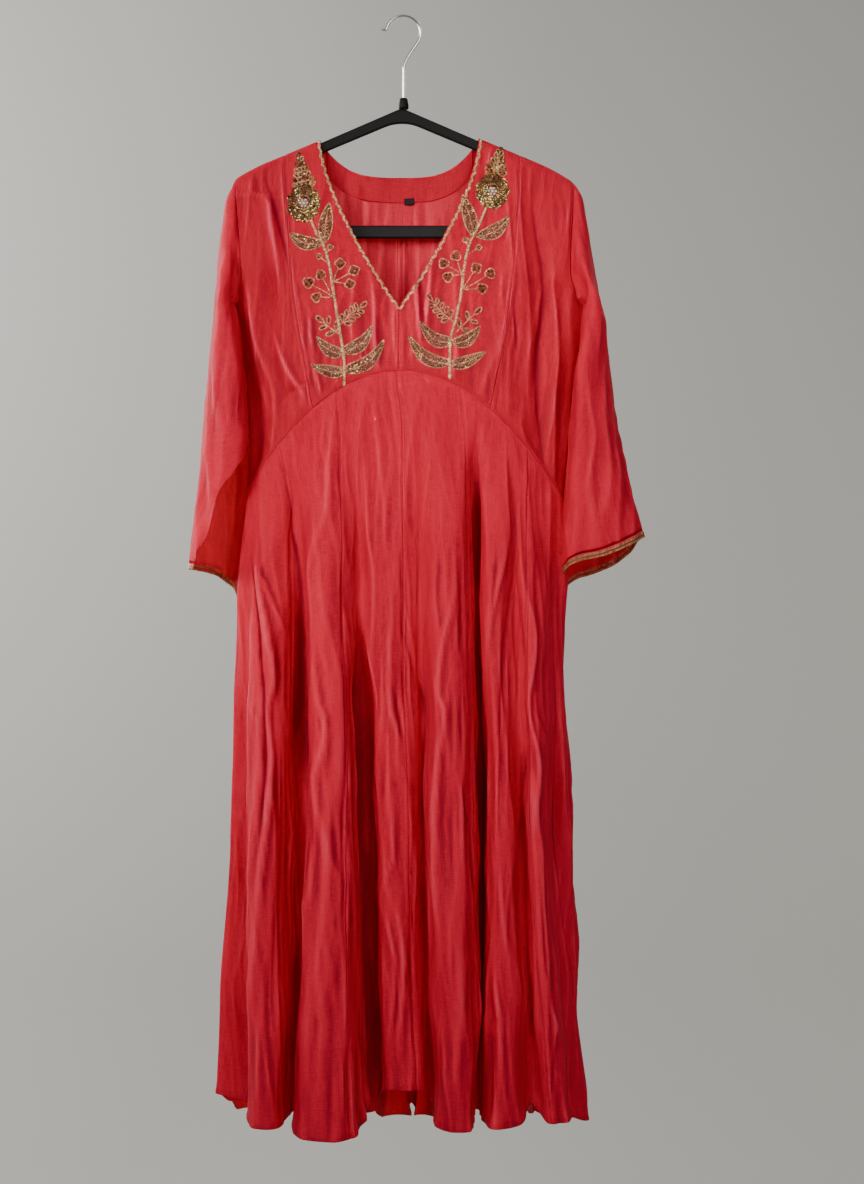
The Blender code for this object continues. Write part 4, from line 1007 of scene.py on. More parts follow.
def makeHanger():
    arms = {"half": 200.0, "thick": 6.0, "round": 2.4, "under": 2.0, "tall": 15.0, "legHalf": 168.0,
            "legWide": 13.0, "barTop": -261.0, "barTall": 16.0, "corner": 7.0, "holeCorner": 22.0}
    # the arms lie under the shoulder line
    armLine = lambda x, under: float(shoulderAt(x)) - arms["under"] - under

    def rounded(corners, radius):
        # the outline with each corner eased into a curve, at most 0.45 of the way along its sides
        made = []
        for i, corner in enumerate(corners):
            corner = np.array(corner)
            before, after = np.array(corners[i - 1]), np.array(corners[(i + 1) % len(corners)])
            reach = min(radius, np.linalg.norm(before - corner) * 0.45, np.linalg.norm(after - corner) * 0.45)
            a, d = corner + unit(before - corner) * reach, corner + unit(after - corner) * reach
            made += list(bend(a, mix(corner, a, 0.4), mix(corner, d, 0.4), d, 9))
        return [(x, z, 0) for x, z in made]

    # one flat moulding: two arms, two legs and the bar between them
    legOut, legIn = arms["legHalf"] + arms["legWide"] / 2, arms["legHalf"] - arms["legWide"] / 2
    barLow = arms["barTop"] - arms["barTall"]
    outer = [(0, armLine(0, 0)), (arms["half"], armLine(arms["half"], 0)),
             (arms["half"], armLine(arms["half"], arms["tall"])), (legOut, armLine(legOut, arms["tall"])),
             (legOut, barLow)]
    outer += [(-x, z) for x, z in reversed(outer[1:])]
    hole = [(0, armLine(0, arms["tall"])), (legIn, armLine(legIn, arms["tall"])), (legIn, arms["barTop"])]
    hole += [(-x, z) for x, z in reversed(hole[1:])]
    curve = bpy.data.curves.new("hangerFrame", "CURVE")
    curve.dimensions = "2D"
    curve.fill_mode = "BOTH"
    curve.extrude = (arms["thick"] / 2 - arms["round"]) * mm
    curve.bevel_depth = arms["round"] * mm
    curve.bevel_resolution = 4
    curve.offset = -arms["round"] * mm
    for outline, radius in ((outer, arms["corner"]), (hole, arms["holeCorner"])):
        polyLine(curve, rounded(outline, radius), closed=True)
    curve.materials.append(hangerBlack)
    hanger = newObject("hangerFrame", curve)
    hanger.rotation_euler = (math.pi / 2, 0, 0)
    settle(hanger, "hanger")

    collarSetup = {"x": 2.0, "radius": 6.5, "tall": 13.0, "apex": 1.5, "gap": 0.35}
    low = armLine(0, 0) - collarSetup["apex"] + collarSetup["gap"]
    profile = ((0.0, 0.01), (0.0, 0.86), (0.05, 0.97), (0.12, 1.0), (0.45, 0.96), (0.8, 0.84), (0.94, 0.8),
               (1.0, 0.7), (1.0, 0.3), (1.0, 0.01))  # share of the height, share of the radius
    turns = np.linspace(0, tau, 40, endpoint=False)
    grid = np.array([np.c_[ringPoints(collarSetup["x"], 0, collarSetup["radius"] * share, turns),
                           low + collarSetup["tall"] * up + 0 * turns] for up, share in profile])
    collar = clothPiece("hangerCollar", grid, hangerBlack, uv=grid[..., :2], closed=True, wall=0)
    settle(collar, "hanger_collar")

    wire = {"wide": 3.2, "radius": 21.6, "leftEnd": 165, "rightEnd": -33, "tip": (-25.6, -15.8),
            "tipEnd": 0.72, "tipStart": 0.93, "stemTop": -67.5}
    centre = np.array((collarSetup["x"] - 0.5, wire["wide"] / 2 - wire["radius"]))
    turns = np.radians(np.linspace(wire["leftEnd"], wire["rightEnd"], 73))
    bow = ringPoints(*centre, wire["radius"], turns)
    tip = np.array(wire["tip"])
    leadOut = bend(tip, tip + (3.5, 0), bow[0] + (-0.3, -3.0), bow[0], 18)[:-1]
    way = np.array((math.sin(turns[-1]), -math.cos(turns[-1])))
    stemTop = np.array((collarSetup["x"], wire["stemTop"]))
    leadIn = bend(bow[-1], bow[-1] + way * 15, stemTop + (0, 13), stemTop, 28)[1:]
    end = np.array((collarSetup["x"], low + collarSetup["tall"] - 1.0))
    line = np.concatenate((leadOut, bow, leadIn, [mix(stemTop, end, 0.5), end]))
    curve = bpy.data.curves.new("hookWire", "CURVE")
    curve.dimensions = "3D"
    curve.bevel_depth = wire["wide"] / 2 * mm
    curve.bevel_resolution = 6
    curve.use_fill_caps = True
    points = polyLine(curve, [(x, 0, z) for x, z in line])
    points[0].radius, points[1].radius = wire["tipEnd"], wire["tipStart"]  # the cut end is filed round
    curve.materials.append(hookChrome)
    hook = newObject("hookWire", curve)
    settle(hook, "hook")
    print("hanger and hook")


def camel(node):
    words = node.split("_")
    return words[0] + "".join(w.capitalize() for w in words[1:])


hemFinish = {
    # the edge is turned once at "turned", stands out over "stiff" and ripples over "loose". All in mm
    "turned": 8.0, "step": 0.35, "stiff": 26.0, "flare": 2.2, "loose": 34.0, "ripple": 1.8, "rippleWave": 38,
}
sideCreases = (
    # seed, count, range across, height. The first two are for the back, the last for the sides
    (41, 34, (-215, 215), 3.2), (42, 30, (-215, 215), 3.2), (43, 26, (-90, 90), 2.4),
)
spareHeights = (-620, -1180)


def makeSkirt():
    frontSteps, backSteps = ((24, 14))  # columns to each fold
    downs = np.concatenate((np.linspace(0, 0.012, 5), np.linspace(0.02, 0.975, 108),
                            np.linspace(0.979, 1, 12)))
    places, cutsAt = [], []
    for start, end in zip(goreSeams, goreSeams[1:]):
        cutsAt.append(len(places))
        steps = frontSteps if start < len(frontFolds) - 1 else backSteps
        places += list(spread(start, end, 1 / steps, tight=(0.018, 0.045)))[:-1]
    cutsAt.append(len(places))
    places.append(goreSeams[-1])
    smooth, back = skirtGrid(places, downs)
    normals = gridNormals(smooth, closed=True)
    x, y, z = (smooth[..., k] for k in range(3))
    outwards = normals[..., 1] * 1.6
    lift = skirt["creaseDepth"] * creaseHeight(skirtCreases, x, z) * np.clip(-outwards, 0, 1) * ~back
    *behind, aside = [spareCreases(seed, count, across, spareHeights, height)
                      for seed, count, across, height in sideCreases]
    for spare in behind:
        lift += creaseHeight(spare, x, z) * np.clip(outwards, 0, 1) * back
    lift += creaseHeight(aside, y, z) * np.clip(np.abs(normals[..., 0]) * 2 - 1, 0, 1)
    lift += looseHeight(smooth, skirtLoose)
    lift *= ease(downs / 0.03)[:, None]
    hem = hemFinish
    fromHem = (1 - downs[:, None]) * (empire["top"] - skirt["hem"])
    lift += hem["step"] * ease((hem["turned"] + 1 - fromHem) / 2)
    lift += seamDip(fromHem - hem["turned"], 0.35, 1.1)
    lift += hem["flare"] * ease((hem["stiff"] - fromHem) / hem["stiff"])
    lift += ease((hem["loose"] - fromHem) / hem["loose"]) * hem["ripple"] * looseness(
        smooth, 71, hem["rippleWave"], 400)
    lift += seamDip(downs[:, None] * skirt["tall"], 0.45, 1.3)  # the empire seam
    around = runAlong(smooth, 1)
    for cut in cutsAt:
        lift += seamDip(around - around[:, cut:cut + 1])
    made = smooth + normals * lift[..., None]
    made[:, -1] = made[:, 0]
    for node, a, b in zip(goreNodes, cutsAt, cutsAt[1:]):
        gore = clothPiece(camel("gore_" + node), made[:, a:b + 1], coralSkirt)
        settle(gore, "skirt_" + node)
        markCreaseShading(gore, made[:, a:b + 1], smooth[:, a:b + 1], normals[:, a:b + 1])
        declareCloth(gore, smooth[:, a:b + 1])
    print("skirt")


bodice = {"wide": 110.0, "tall": 345.0}  # a panel's size, for the spacing of its rows and columns


def makeBodice():
    wide, tall = bodice["wide"], bodice["tall"]
    panels = [(side, back, outer) for side in (-1, 1) for back in (False, True) for outer in (False, True)]
    for side, back, outer in panels:
        heights = np.linspace(float(shoulderAt(sideEdge(armholeTop, side))),
                              float(archAt(sideEdge(empire["foot"], side), back)), 90)
        seam = lambda share: princessAt(share, side)
        if outer:
            innerEdge, outerEdge = seam, edgeByShare(sideEdge(heights, side), heights, back)
        elif back:
            innerEdge, outerEdge = (lambda share: share * 0 + neck["middle"]), seam
        else:
            xs, zs = neckline(np.linspace(0, 1, 60), side)
            xs, zs = np.append(xs, neck["middle"]), np.append(zs, empire["top"] - 20)
            innerEdge, outerEdge = edgeByShare(xs, zs, back), seam
        columns = spread(0, wide, 2.9) / wide
        share = spread(0, tall, 3.1)[:, None] / tall
        x = mix(innerEdge(share), outerEdge(share), columns[None, :])
        z = mix(backTop(x) if back else shoulderAt(x), archAt(x, back), share)
        grid, normals = bodiceSurface(x, z, back)
        plain = bodyPoint(x, z, back, wallGap)
        length = np.linalg.norm(np.diff(plain, axis=1), axis=-1).sum(1)[:, None]
        u = columns[None, :] * length
        dip = seamDip((1 - share) * tall, 0.45, 1.3) + seamDip(length - u)
        if outer:
            dip = dip + seamDip(u)
        elif not back:
            dip = dip + np.where(z < neck["deep"], seamDip(u), 0)
        made = grid + normals * dip[..., None]
        node = "_".join(("bodice", "back" if back else "front", "side" if outer else "centre",
                         "left" if side < 0 else "right"))
        piece = clothPiece(camel(node), made, coralBodice, lining=(coralInside, normals))
        settle(piece, node)
        markCreaseShading(piece, made, plain, normals)
        declareCloth(piece, plain)
    print("bodice")


sleeveSurfaces = {}  # kept for the cuffs
sleeveCreases = {
    "left": (
        (((-214, -244), (-222, -330), (-226, -420), (-232, -520)), 8, 2.2),
        (((-205, -300), (-212, -380), (-218, -450)), 5, -2.0),
        (((-236, -380), (-238, -450), (-244, -540)), 6, 1.6),
        (((-222, -470), (-236, -520), (-246, -600)), 4, -1.6),
    ),
    "right": (
        (((214, -380), (220, -450), (222, -540)), 5, 2.4),
        (((226, -300), (238, -400), (250, -520), (262, -640)), 9, 1.8),
        (((216, -240), (224, -330), (236, -430)), 6, -1.8),
        (((250, -470), (268, -560), (286, -640)), 7, 1.4),
        (((232, -540), (240, -600), (246, -660)), 5, -1.2),
    ),
}
sleeveSpare = {
    # seed, count, range across and down, height, for the back of each sleeve
    "left": (51, 14, (-255, -205), (-260, -560), 2.0), "right": (52, 14, (215, 290), (-260, -560), 2.0),
}


def makeSleeves():
    long, around = sleeve["long"], sleeve["around"]
    for side in ("left", "right"):
        turns = spread(0, around, 3.6) / around
        downs = spread(0, long, 3.8, tight=(1.0, 2.2, 4.0, 5.4, 6.4, 7.6)) / long
        smooth = sleeveGrid(side, turns, downs)
        normals = gridNormals(smooth)
        normals *= np.sign(normals[len(downs) // 2, len(turns) // 2, 0]) * (-1 if side == "left" else 1)
        x, z = smooth[..., 0], smooth[..., 2]
        outwards = normals[..., 1] * 1.5
        lift = creaseHeight(sleeveCreases[side], x, z) * np.clip(-outwards, 0, 1)
        lift += creaseHeight(spareCreases(*sleeveSpare[side]), x, z) * np.clip(outwards, 0, 1)
        lift += looseHeight(smooth, sleeveLoose)
        lift *= ease(downs / 0.05)[:, None]
        lift += seamDip(downs[:, None] * long, 0.8, 1.8)  # the armhole seam
        lift += seamDip((1 - downs[:, None]) * long - sleeve["turned"], 0.3, 1.0)
        made = smooth + normals * lift[..., None]
        piece = clothPiece("sleeve" + side.capitalize(), made, coral, lining=(coralInside, normals))
        settle(piece, "sleeve_" + side)
        markCreaseShading(piece, made, smooth, normals)
        declareCloth(piece, smooth)
        sleeveSurfaces[side] = (turns, downs, made, normals)
    print("sleeves")


facing = {"deep": 30.0, "below": 1.0, "inward": 2.0, "across": 0.93, "wall": 0.7, "stitched": 2.0}
label = {"wide": 12.5, "tall": 8.0, "aside": 12.0, "above": 4.0, "inward": 3.5, "wall": 0.5}


def makeFacing():
    across = np.linspace(-facing["across"], facing["across"], 90)
    share = np.linspace(0, 1, 22)[:, None]
    x = neck["middle"] + neck["half"] * across[None, :] + share * 0
    z = backTop(x) - facing["below"] - facing["deep"] * share
    grid, normals = bodiceSurface(x, z, True, -facing["inward"])
    made = grid - normals * seamDip((1 - share) * facing["deep"] - facing["stitched"], 0.3, 0.9)[..., None]
    piece = clothPiece("neckFacing", made, coralBodice, wall=facing["wall"])
    settle(piece, "back_neck_facing")
    markCreaseShading(piece, made, made, normals)
    declareCloth(piece, made)

    across = np.linspace(-0.5, 0.5, 14)[None, :]
    down = np.linspace(0, label["tall"], 10)[:, None]
    x = neck["middle"] + label["aside"] + label["wide"] * across + down * 0
    z = neck["back"] - facing["deep"] + label["above"] - down + across * 0.5
    grid, normals = bodiceSurface(x, z, True, -label["inward"])
    fold = 0.5 * np.sin(math.pi * down / label["tall"]) + 0.25 * ease(down / 2)
    made = grid - normals * (fold + across * 0)[..., None]
    piece = clothPiece("sizeLabel", made, labelBlack, wall=label["wall"])
    settle(piece, "label")
    declareCloth(piece, made)
    print("facing and label")


def beadShape(lengthwise=6, rings=3):
    points, faces = [(-1.0, 0.0, 0.0)], []
    for i in range(1, rings + 1):
        a = math.pi * i / (rings + 1)
        for k in range(lengthwise):
            b = tau * k / lengthwise
            points.append((-math.cos(a), math.sin(a) * math.cos(b), math.sin(a) * math.sin(b)))
    points.append((1.0, 0.0, 0.0))
    last = len(points) - 1
    for k in range(lengthwise):
        n = (k + 1) % lengthwise
        faces.append((0, 1 + n, 1 + k))
        for i in range(rings - 1):
            a, b = 1 + i * lengthwise, 1 + (i + 1) * lengthwise
            faces += [(a + k, a + n, b + n), (a + k, b + n, b + k)]
        a = 1 + (rings - 1) * lengthwise
        faces.append((a + k, a + n, last))
    return np.array(points), np.array(faces)


def discShape(sides=8):
    turns = np.linspace(0, tau, sides, endpoint=False)
    rim = np.stack((np.cos(turns), np.sin(turns), 0.16 + 0 * turns), -1)
    points = np.concatenate((rim, [(0, 0, -0.06), (0, 0, -0.2)]))
    faces = []
    for k in range(sides):
        n = (k + 1) % sides
        faces += [(k, n, sides), (n, k, sides + 1)]
    return np.array(points), np.array(faces)


def stoneShape(sides=8):
    turns = np.linspace(0, tau, sides, endpoint=False)
    ring = lambda r, z: np.stack((r * np.cos(turns), r * np.sin(turns), z + 0 * turns), -1)
    points = np.concatenate((ring(1.0, 0.0), ring(0.55, 0.55), [(0, 0, 0.62), (0, 0, -0.2)]))
    faces = []
    for k in range(sides):
        n = (k + 1) % sides
        faces += [(k, n, sides + n), (k, sides + n, sides + k), (sides + k, sides + n, 2 * sides),
                  (n, k, 2 * sides + 1)]
    return np.array(points), np.array(faces)


shapes = {"bead": beadShape(), "fine": beadShape(5, 2), "disc": discShape(), "stone": stoneShape()}


class Needlework:
    # gathers copies of the small shapes, each with a place, three directions and three sizes

    def __init__(self):
        self.heaps = {}

    def sew(self, look, shape, at, turn, out, sizes, lean=None):
        # on the bodice front: out is the height above the cloth, lean tips the pieces up along their length
        x, z = np.asarray(at, float).reshape(-1, 2).T
        places, normal = bodiceSurface(x, z, False, clothWall / 2 + out)
        ahead, _ = bodiceSurface(x + 0.4 * np.cos(turn), z + 0.4 * np.sin(turn), False, clothWall / 2 + out)
        along = unit(ahead - places)
        beside = np.cross(normal, along)
        if lean is not None:
            c, s = np.cos(lean)[:, None], np.sin(lean)[:, None]
            along, normal = along * c - normal * s, normal * c + along * s
        self.add(look, shape, places, np.stack((along, beside, normal), 1), sizes)

    def add(self, look, shape, places, ways, sizes):
        places = np.asarray(places, float).reshape(-1, 3)
        sizes = np.broadcast_to(np.asarray(sizes, float), (len(places), 3))
        points, faces = shapes[shape]
        copies = np.einsum("pk,mk,mkc->mpc", points, sizes, ways) + places[:, None, :]
        heap = self.heaps.setdefault(look.name, {"look": look, "points": [], "faces": [], "count": 0,
                                                 "flat": shape in ("disc", "stone")})
        offsets = heap["count"] + np.arange(len(places)) * len(points)
        heap["points"].append(copies.reshape(-1, 3))
        heap["faces"].append((faces[None] + offsets[:, None, None]).reshape(-1, 3))
        heap["count"] += len(places) * len(points)

    def build(self, name):
        made = []
        for heap in self.heaps.values():
            mesh = bpy.data.meshes.new(f"{name}{heap['look'].name[0].upper()}{heap['look'].name[1:]}")
            points = np.concatenate(heap["points"]) * mm
            mesh.from_pydata(points.tolist(), [], np.concatenate(heap["faces"]).tolist())
            if not heap["flat"]:
                mesh.shade_smooth()
            mesh.materials.append(heap["look"])
            piece = newObject(mesh.name, mesh)
            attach(piece, "root")
            made.append(piece)
        return made


def smoothLine(line, pitch):
    # evenly spaced points on a rounded line through the given ones, with the direction there
    line = np.array(line, float)
    padded = np.concatenate((2 * line[:1] - line[1:2], line, 2 * line[-1:] - line[-2:-1]))
    if len(line) > 2 and np.allclose(line[0], line[-1]):
        padded[0], padded[-1] = line[-2], line[1]
    t = np.linspace(0, 1, 14)[:-1, None]
    pieces = []
    for a, b, c, d in zip(padded, padded[1:], padded[2:], padded[3:]):
        pieces.append(0.5 * (2 * b + (c - a) * t + (2 * a - 5 * b + 4 * c - d) * t**2
                             + (3 * b - a - 3 * c + d) * t**3))
    fine = np.concatenate((*pieces, line[-1:]))
    run = runAlong(fine)
    count = max(2, int(round(run[-1] / pitch)))
    at = (np.arange(count) + 0.5) * run[-1] / count
    place = lambda at: np.stack([np.interp(at, run, column) for column in fine.T], -1)
    return place(at), unit(place(at + 0.2) - place(at - 0.2))


def stitchAlong(work, look, line, pitch, size, tilt=0.5, out=0.6, shape="bead"):
    points, way = smoothLine(line, pitch)
    work.sew(look, shape, points, np.arctan2(way[:, 1], way[:, 0]) + tilt, out, size)


needle = {
    # pitch, half sizes in mm, and tilt in radians
    "outlinePitch": 1.35, "outline": (1.3, 0.62, 0.62), "outlineTilt": 0.6,
    "stemPitch": 1.3, "stem": (1.9, 0.75, 0.8), "stemTilt": 0.85, "stemHalf": 0.55, "rowPitch": 2.05,
    "sequin": (1.6, 1.6, 1.6), "bead": (0.9, 0.9, 0.9), "filling": (1.5, 0.75, 0.8), "stone": (1.7, 1.7, 1.7),
}
# x, z, radius, height to width
flowers = {"left": (-121.5, -237, 21.2, 1.17), "right": (112.3, -222, 20.8, 1.15)}
flowerRings = (
    # share of the radius, stitches and look, from the rim to the middle
    (0.97, 46, sequinOlive), (0.9, 44, zariDark), (0.82, 38, sequinOlive), (0.75, 38, zariDark),
    (0.68, 32, sequinOlive), (0.6, 28, zariDark), (0.52, 24, sequinOlive), (0.45, 22, zariDark),
    (0.40, 18, beadGold), (0.33, 14, sequinOlive),
)
leaves = {
    # x and z of the root and of the tip, width, bend
    "left": ((-95, -289, -90, -237, 16.5, 0.02), (-98, -291, -138, -276, 17, 0.12),
             (-70, -426, -35.5, -394, 16.5, -0.13), (-71, -429, -104, -406, 15, 0.12),
             (-69, -449, -21.5, -411, 16, -0.15), (-70, -451, -110, -440, 14.5, 0.06)),
    "right": ((89, -281, 76, -227, 16, -0.02), (93, -281, 132, -258, 17, -0.12),
              (62, -414, 23.5, -389, 17, 0.16), (64, -416, 96, -394, 15.5, -0.12),
              (58, -440, 9.5, -407, 16.5, 0.16), (61, -442, 102, -425, 14.5, -0.06)),
}
leafFill = (
    # look, shape, share of the stitches drawn below it and up to it, height, half sizes
    (zariDark, "fine", 0.0, 0.42, 1.0, (1.4, 0.62, 0.62)),
    (zariThread, "fine", 0.42, 0.74, 1.0, (1.2, 0.5, 0.6)),
    (beadGold, "fine", 0.74, 0.88, 1.0, (0.75, 0.68, 0.65)),
    (sequinOlive, "disc", 0.88, 1.0, 1.5, (1.0, 1.0, 1.0)),
)
stems = {
    "left": ((-69.7, -467), (-69.7, -433), (-76, -395), (-82.7, -353), (-87.6, -321), (-96, -292),
             (-104.8, -277), (-112, -259)),
    "right": ((59, -458.5), (60, -412), (66.4, -386), (73, -353), (78, -313), (85.3, -287), (92.7, -272),
              (100, -255), (106, -241)),
}
berries = {
    # root, then berries on stalks
    "left": (((-83.5, -338), (-75.3, -315), (-58.2, -324), (-63, -341)),
             ((-84.5, -357), (-99, -329), (-114, -338), (-104, -357))),
    "right": (((74.5, -329), (66.6, -306), (51.8, -315), (57, -332)),
              ((74, -348), (91.7, -321), (108.9, -327), (99, -346))),
}
buds = {"left": (((-93, -304), (-87.5, -295)), ((-90, -315), (-101, -306))),
        "right": (((82.5, -297), (78.5, -286)), ((82, -304), (95, -295)))}
sprigs = {
    # root, tip, pairs of loops
    "left": (((-77, -394), (-44, -364), 4), ((-75, -404), (-103, -382), 2)),
    "right": (((65, -390), (32, -355), 4), ((67, -402), (97, -371), 2)),
}
plumes = {
    # foot and tip of the cluster above each flower, and its width at the foot
    "left": ((-121, -216), (-128, -173), 30), "right": ((116, -200), (123, -166), 28),
}
plumeRows = (5, 5, 4, 4, 3, 2, 1)  # loops in each row, from the foot up
loopShape = ((0, 0), (0.3, 0.4), (0.66, 0.5), (0.95, 0.22), (0.95, -0.22), (0.66, -0.5), (0.3, -0.4), (0, 0))


def outline(work, line, look=zariThread):
    stitchAlong(work, look, line, needle["outlinePitch"], needle["outline"], needle["outlineTilt"], 0.5)


def outlineLoop(work, root, way, long, wide, look=zariThread):
    beside = np.array((-way[1], way[0]))
    outline(work, [root + way * long * a + beside * wide * b for a, b in loopShape], look)


def sewStem(work, line):
    # slanted satin stitches over a cord
    points, way = smoothLine(line, needle["stemPitch"])
    beside = np.stack((-way[:, 1], way[:, 0]), -1) * needle["stemHalf"]
    turn = np.arctan2(way[:, 1], way[:, 0])
    for hand in (-1, 1):
        work.sew(zariThread, "bead", points + beside * hand, turn + hand * needle["stemTilt"], 0.75,
                 needle["stem"])


def sewLeaf(work, rng, node, full, rootX, rootZ, tipX, tipZ, wide, bowed):
    # a couched outline round rows of zari and sequins on padding. A low full is fullest near the root
    root, tip = np.array((rootX, rootZ), float), np.array((tipX, tipZ), float)
    long = np.linalg.norm(tip - root)
    way = (tip - root) / long
    beside = np.array((-way[1], way[0]))

    def leafPoint(t, w):
        t, w = np.asarray(t, float)[..., None], np.asarray(w, float)[..., None]
        half = wide / 2 * (0.05 + np.sin(math.pi * t**full) ** 0.75 * 0.95)
        return root + way * long * t + beside * (half * w + long * bowed * np.sin(math.pi * t))

    share = np.linspace(0, 1, 17)
    edges = [list(leafPoint(share, w + 0 * share)) for w in (1, -1)]
    outline(work, edges[0] + edges[1][::-1] + edges[0][:1])
    outline(work, list(leafPoint(np.linspace(0.02, 0.97, 9), np.zeros(9))))
    across = np.linspace(-1, 1, 9)
    pad = leafPoint(*np.meshgrid(np.linspace(0.01, 0.99, 24), across * 0.96, indexing="ij"))
    dome = (0.35 + 0.45 * (1 - across**2)) * np.sin(np.linspace(0.05, 3.09, 24))[:, None]
    grid, normals = bodiceSurface(pad[..., 0], pad[..., 1], False, clothWall / 2)
    settle(clothPiece(camel(node), grid + normals * dome[..., None], satinPadding, wall=0.4, offset=-1.0),
           node)
    rows = int(long / needle["rowPitch"])
    t = (np.arange(rows) + 0.8) / (rows + 0.5)
    for w in (-0.74, -0.5, -0.25, 0.25, 0.5, 0.74):
        at = leafPoint(t, w + 0 * t)
        at += rng.normal(0, 0.28, at.shape)
        turn = math.atan2(way[1], way[0]) + math.copysign(0.75, w) + rng.normal(0, 0.25, rows)
        lot = rng.random(rows)
        for look, shape, low, high, out, sizes in leafFill:
            chosen = (lot >= low) & (lot < high)
            if chosen.any():
                work.sew(look, shape, at[chosen], turn[chosen], out, sizes)


def sewBerry(work, rng, x, z, radius):
    # a ring that is never quite round, with dark filling and one gold bead
    lumps, start = rng.integers(3, 5), rng.uniform(0, tau)
    turns = np.linspace(0, tau, 17)
    outline(work, ringPoints(x, z, radius * (1 + 0.13 * np.cos(lumps * turns + start)), turns))
    turns = rng.uniform(0, tau) + np.arange(5) * tau / 5
    work.sew(zariDark, "bead", ringPoints(x, z, radius * 0.55, turns), turns, 0.7,
             (radius * 0.36, radius * 0.3, 0.9))
    work.sew(zariDark, "fine", ringPoints(x, z, radius * 0.3, turns + 0.6), turns, 1.1, (1.3, 0.6, 0.6))
    work.sew(beadGold, "bead", (x + 0.8, z - 0.4), 0.0, 1.1, (0.8, 0.8, 0.8))


def sewSprig(work, root, tip, pairs):
    # a stalk with pairs of loops and one more at the tip
    long, wide = 10.0 if pairs > 2 else 12.5, 5.4
    root, tip = np.array(root, float), np.array(tip, float)
    way = unit(tip - root)
    outline(work, [root, mix(root, tip, 0.5) + turned(way, math.pi / 2) * 0.8, tip - way * long * 0.9])
    ends = [(tip - way * long, way, 1.0)]
    for k in range(pairs):
        share = 0.16 + 0.68 * k / pairs
        ends += [(mix(root, tip, share), turned(way, hand * 0.95), 1 - 0.35 * share) for hand in (-1, 1)]
    for start, heading, scale in ends:
        start = start + heading * 1.6
        outlineLoop(work, start, heading, long * scale, wide * scale)
        for share, size in ((0.42, 0.22), (0.68, 0.2)):
            work.sew(zariDark, "bead", start + heading * long * scale * share,
                     math.atan2(heading[1], heading[0]), 0.7, (long * scale * size, wide * scale * 0.27, 0.7))


def sewPlume(work, rng, foot, tip, wide):
    # rows of loops that close to a point, each loop with two beads
    foot, tip = np.array(foot, float), np.array(tip, float)
    up = unit(tip - foot)
    tall = np.linalg.norm(tip - foot)
    for row, count in enumerate(plumeRows):
        share = row / 6.6
        for k in range(count):
            aside = (k + 0.5) / count * 2 - 1
            start = foot + up * tall * (share + rng.uniform(-0.02, 0.02))
            start = start + turned(up, math.pi / 2) * -aside * wide / 2 * (1 - share) * 0.62
            heading = turned(up, -aside * (1.15 - 0.6 * share) + rng.uniform(-0.12, 0.12))
            long = 8.2 - 2.2 * share
            outlineLoop(work, start, heading, long, 4.9 - share,
                        (zariThread, zariBraid, zariDark)[int(rng.integers(3))])
            for reach in (0.36, 0.66):
                turn = rng.uniform(0, 3)
                look = (zariDark, zariDark, zariDark, beadGold)[int(rng.integers(4))]
                work.sew(look, "bead", start + heading * long * reach, turn, 0.9, (1.7, 1.2, 0.9))


def sewFlower(work, rng, side, x, z, radius, tall):
    # a padded round of overlapping sequins with filling between, and stones in the middle
    dome = lambda share: 0.5 + 1.9 * (1 - share**2.4)
    turns = np.linspace(0, tau, 72, endpoint=False)[None, :]
    share = np.linspace(0.02, 1.0, 14)[:, None]
    pad = ringPoints(x, z, radius * share * (1 - 0.05 * (1 - np.cos(9 * turns)) * share), turns, tall)
    grid, normals = bodiceSurface(pad[..., 0], pad[..., 1], False, clothWall / 2)
    grid = grid + normals * (dome(share) + 0 * turns)[..., None]
    pad = clothPiece("flower" + side.capitalize(), grid, satinPadding, closed=True, wall=0.5, offset=-1.0)
    settle(pad, "flower_" + side)
    for number, (reach, count, look) in enumerate(flowerRings):
        angle = np.linspace(0, tau, count, endpoint=False) + number * 0.37 + rng.normal(0, 0.03, count)
        wave = 1 - 0.045 * (1 - np.cos(9 * angle)) * reach
        reach = reach + rng.normal(0, 0.018, count)
        lean = rng.normal(0.42, 0.16, count)
        at, out = ringPoints(x, z, radius * reach * wave, angle, tall), dome(reach) + 0.75
        if look is sequinOlive:
            work.sew(look, "disc", at, angle, out, needle["sequin"], lean)
        else:
            work.sew(look, "bead", at, angle, out, needle["bead" if look is beadGold else "filling"])
    angle = np.linspace(0, tau, 6, endpoint=False)
    middle = np.concatenate((ringPoints(x, z, 4.4, angle), [(x, z)]))
    work.sew(stone, "stone", middle, np.append(angle, 0.0), 2.7, needle["stone"])
    angle = np.linspace(0, tau, 15, endpoint=False)
    work.sew(beadGold, "fine", ringPoints(x, z, 2.1, angle), angle, 2.6, (0.55,) * 3)
    angle, reach = rng.uniform(0, tau, 9), rng.uniform(0.35, 0.9, 9)
    loose = ringPoints(x, z, radius * reach, angle, tall)
    work.sew(stone, "stone", loose, angle, dome(reach) + 1.2, (0.9,) * 3)


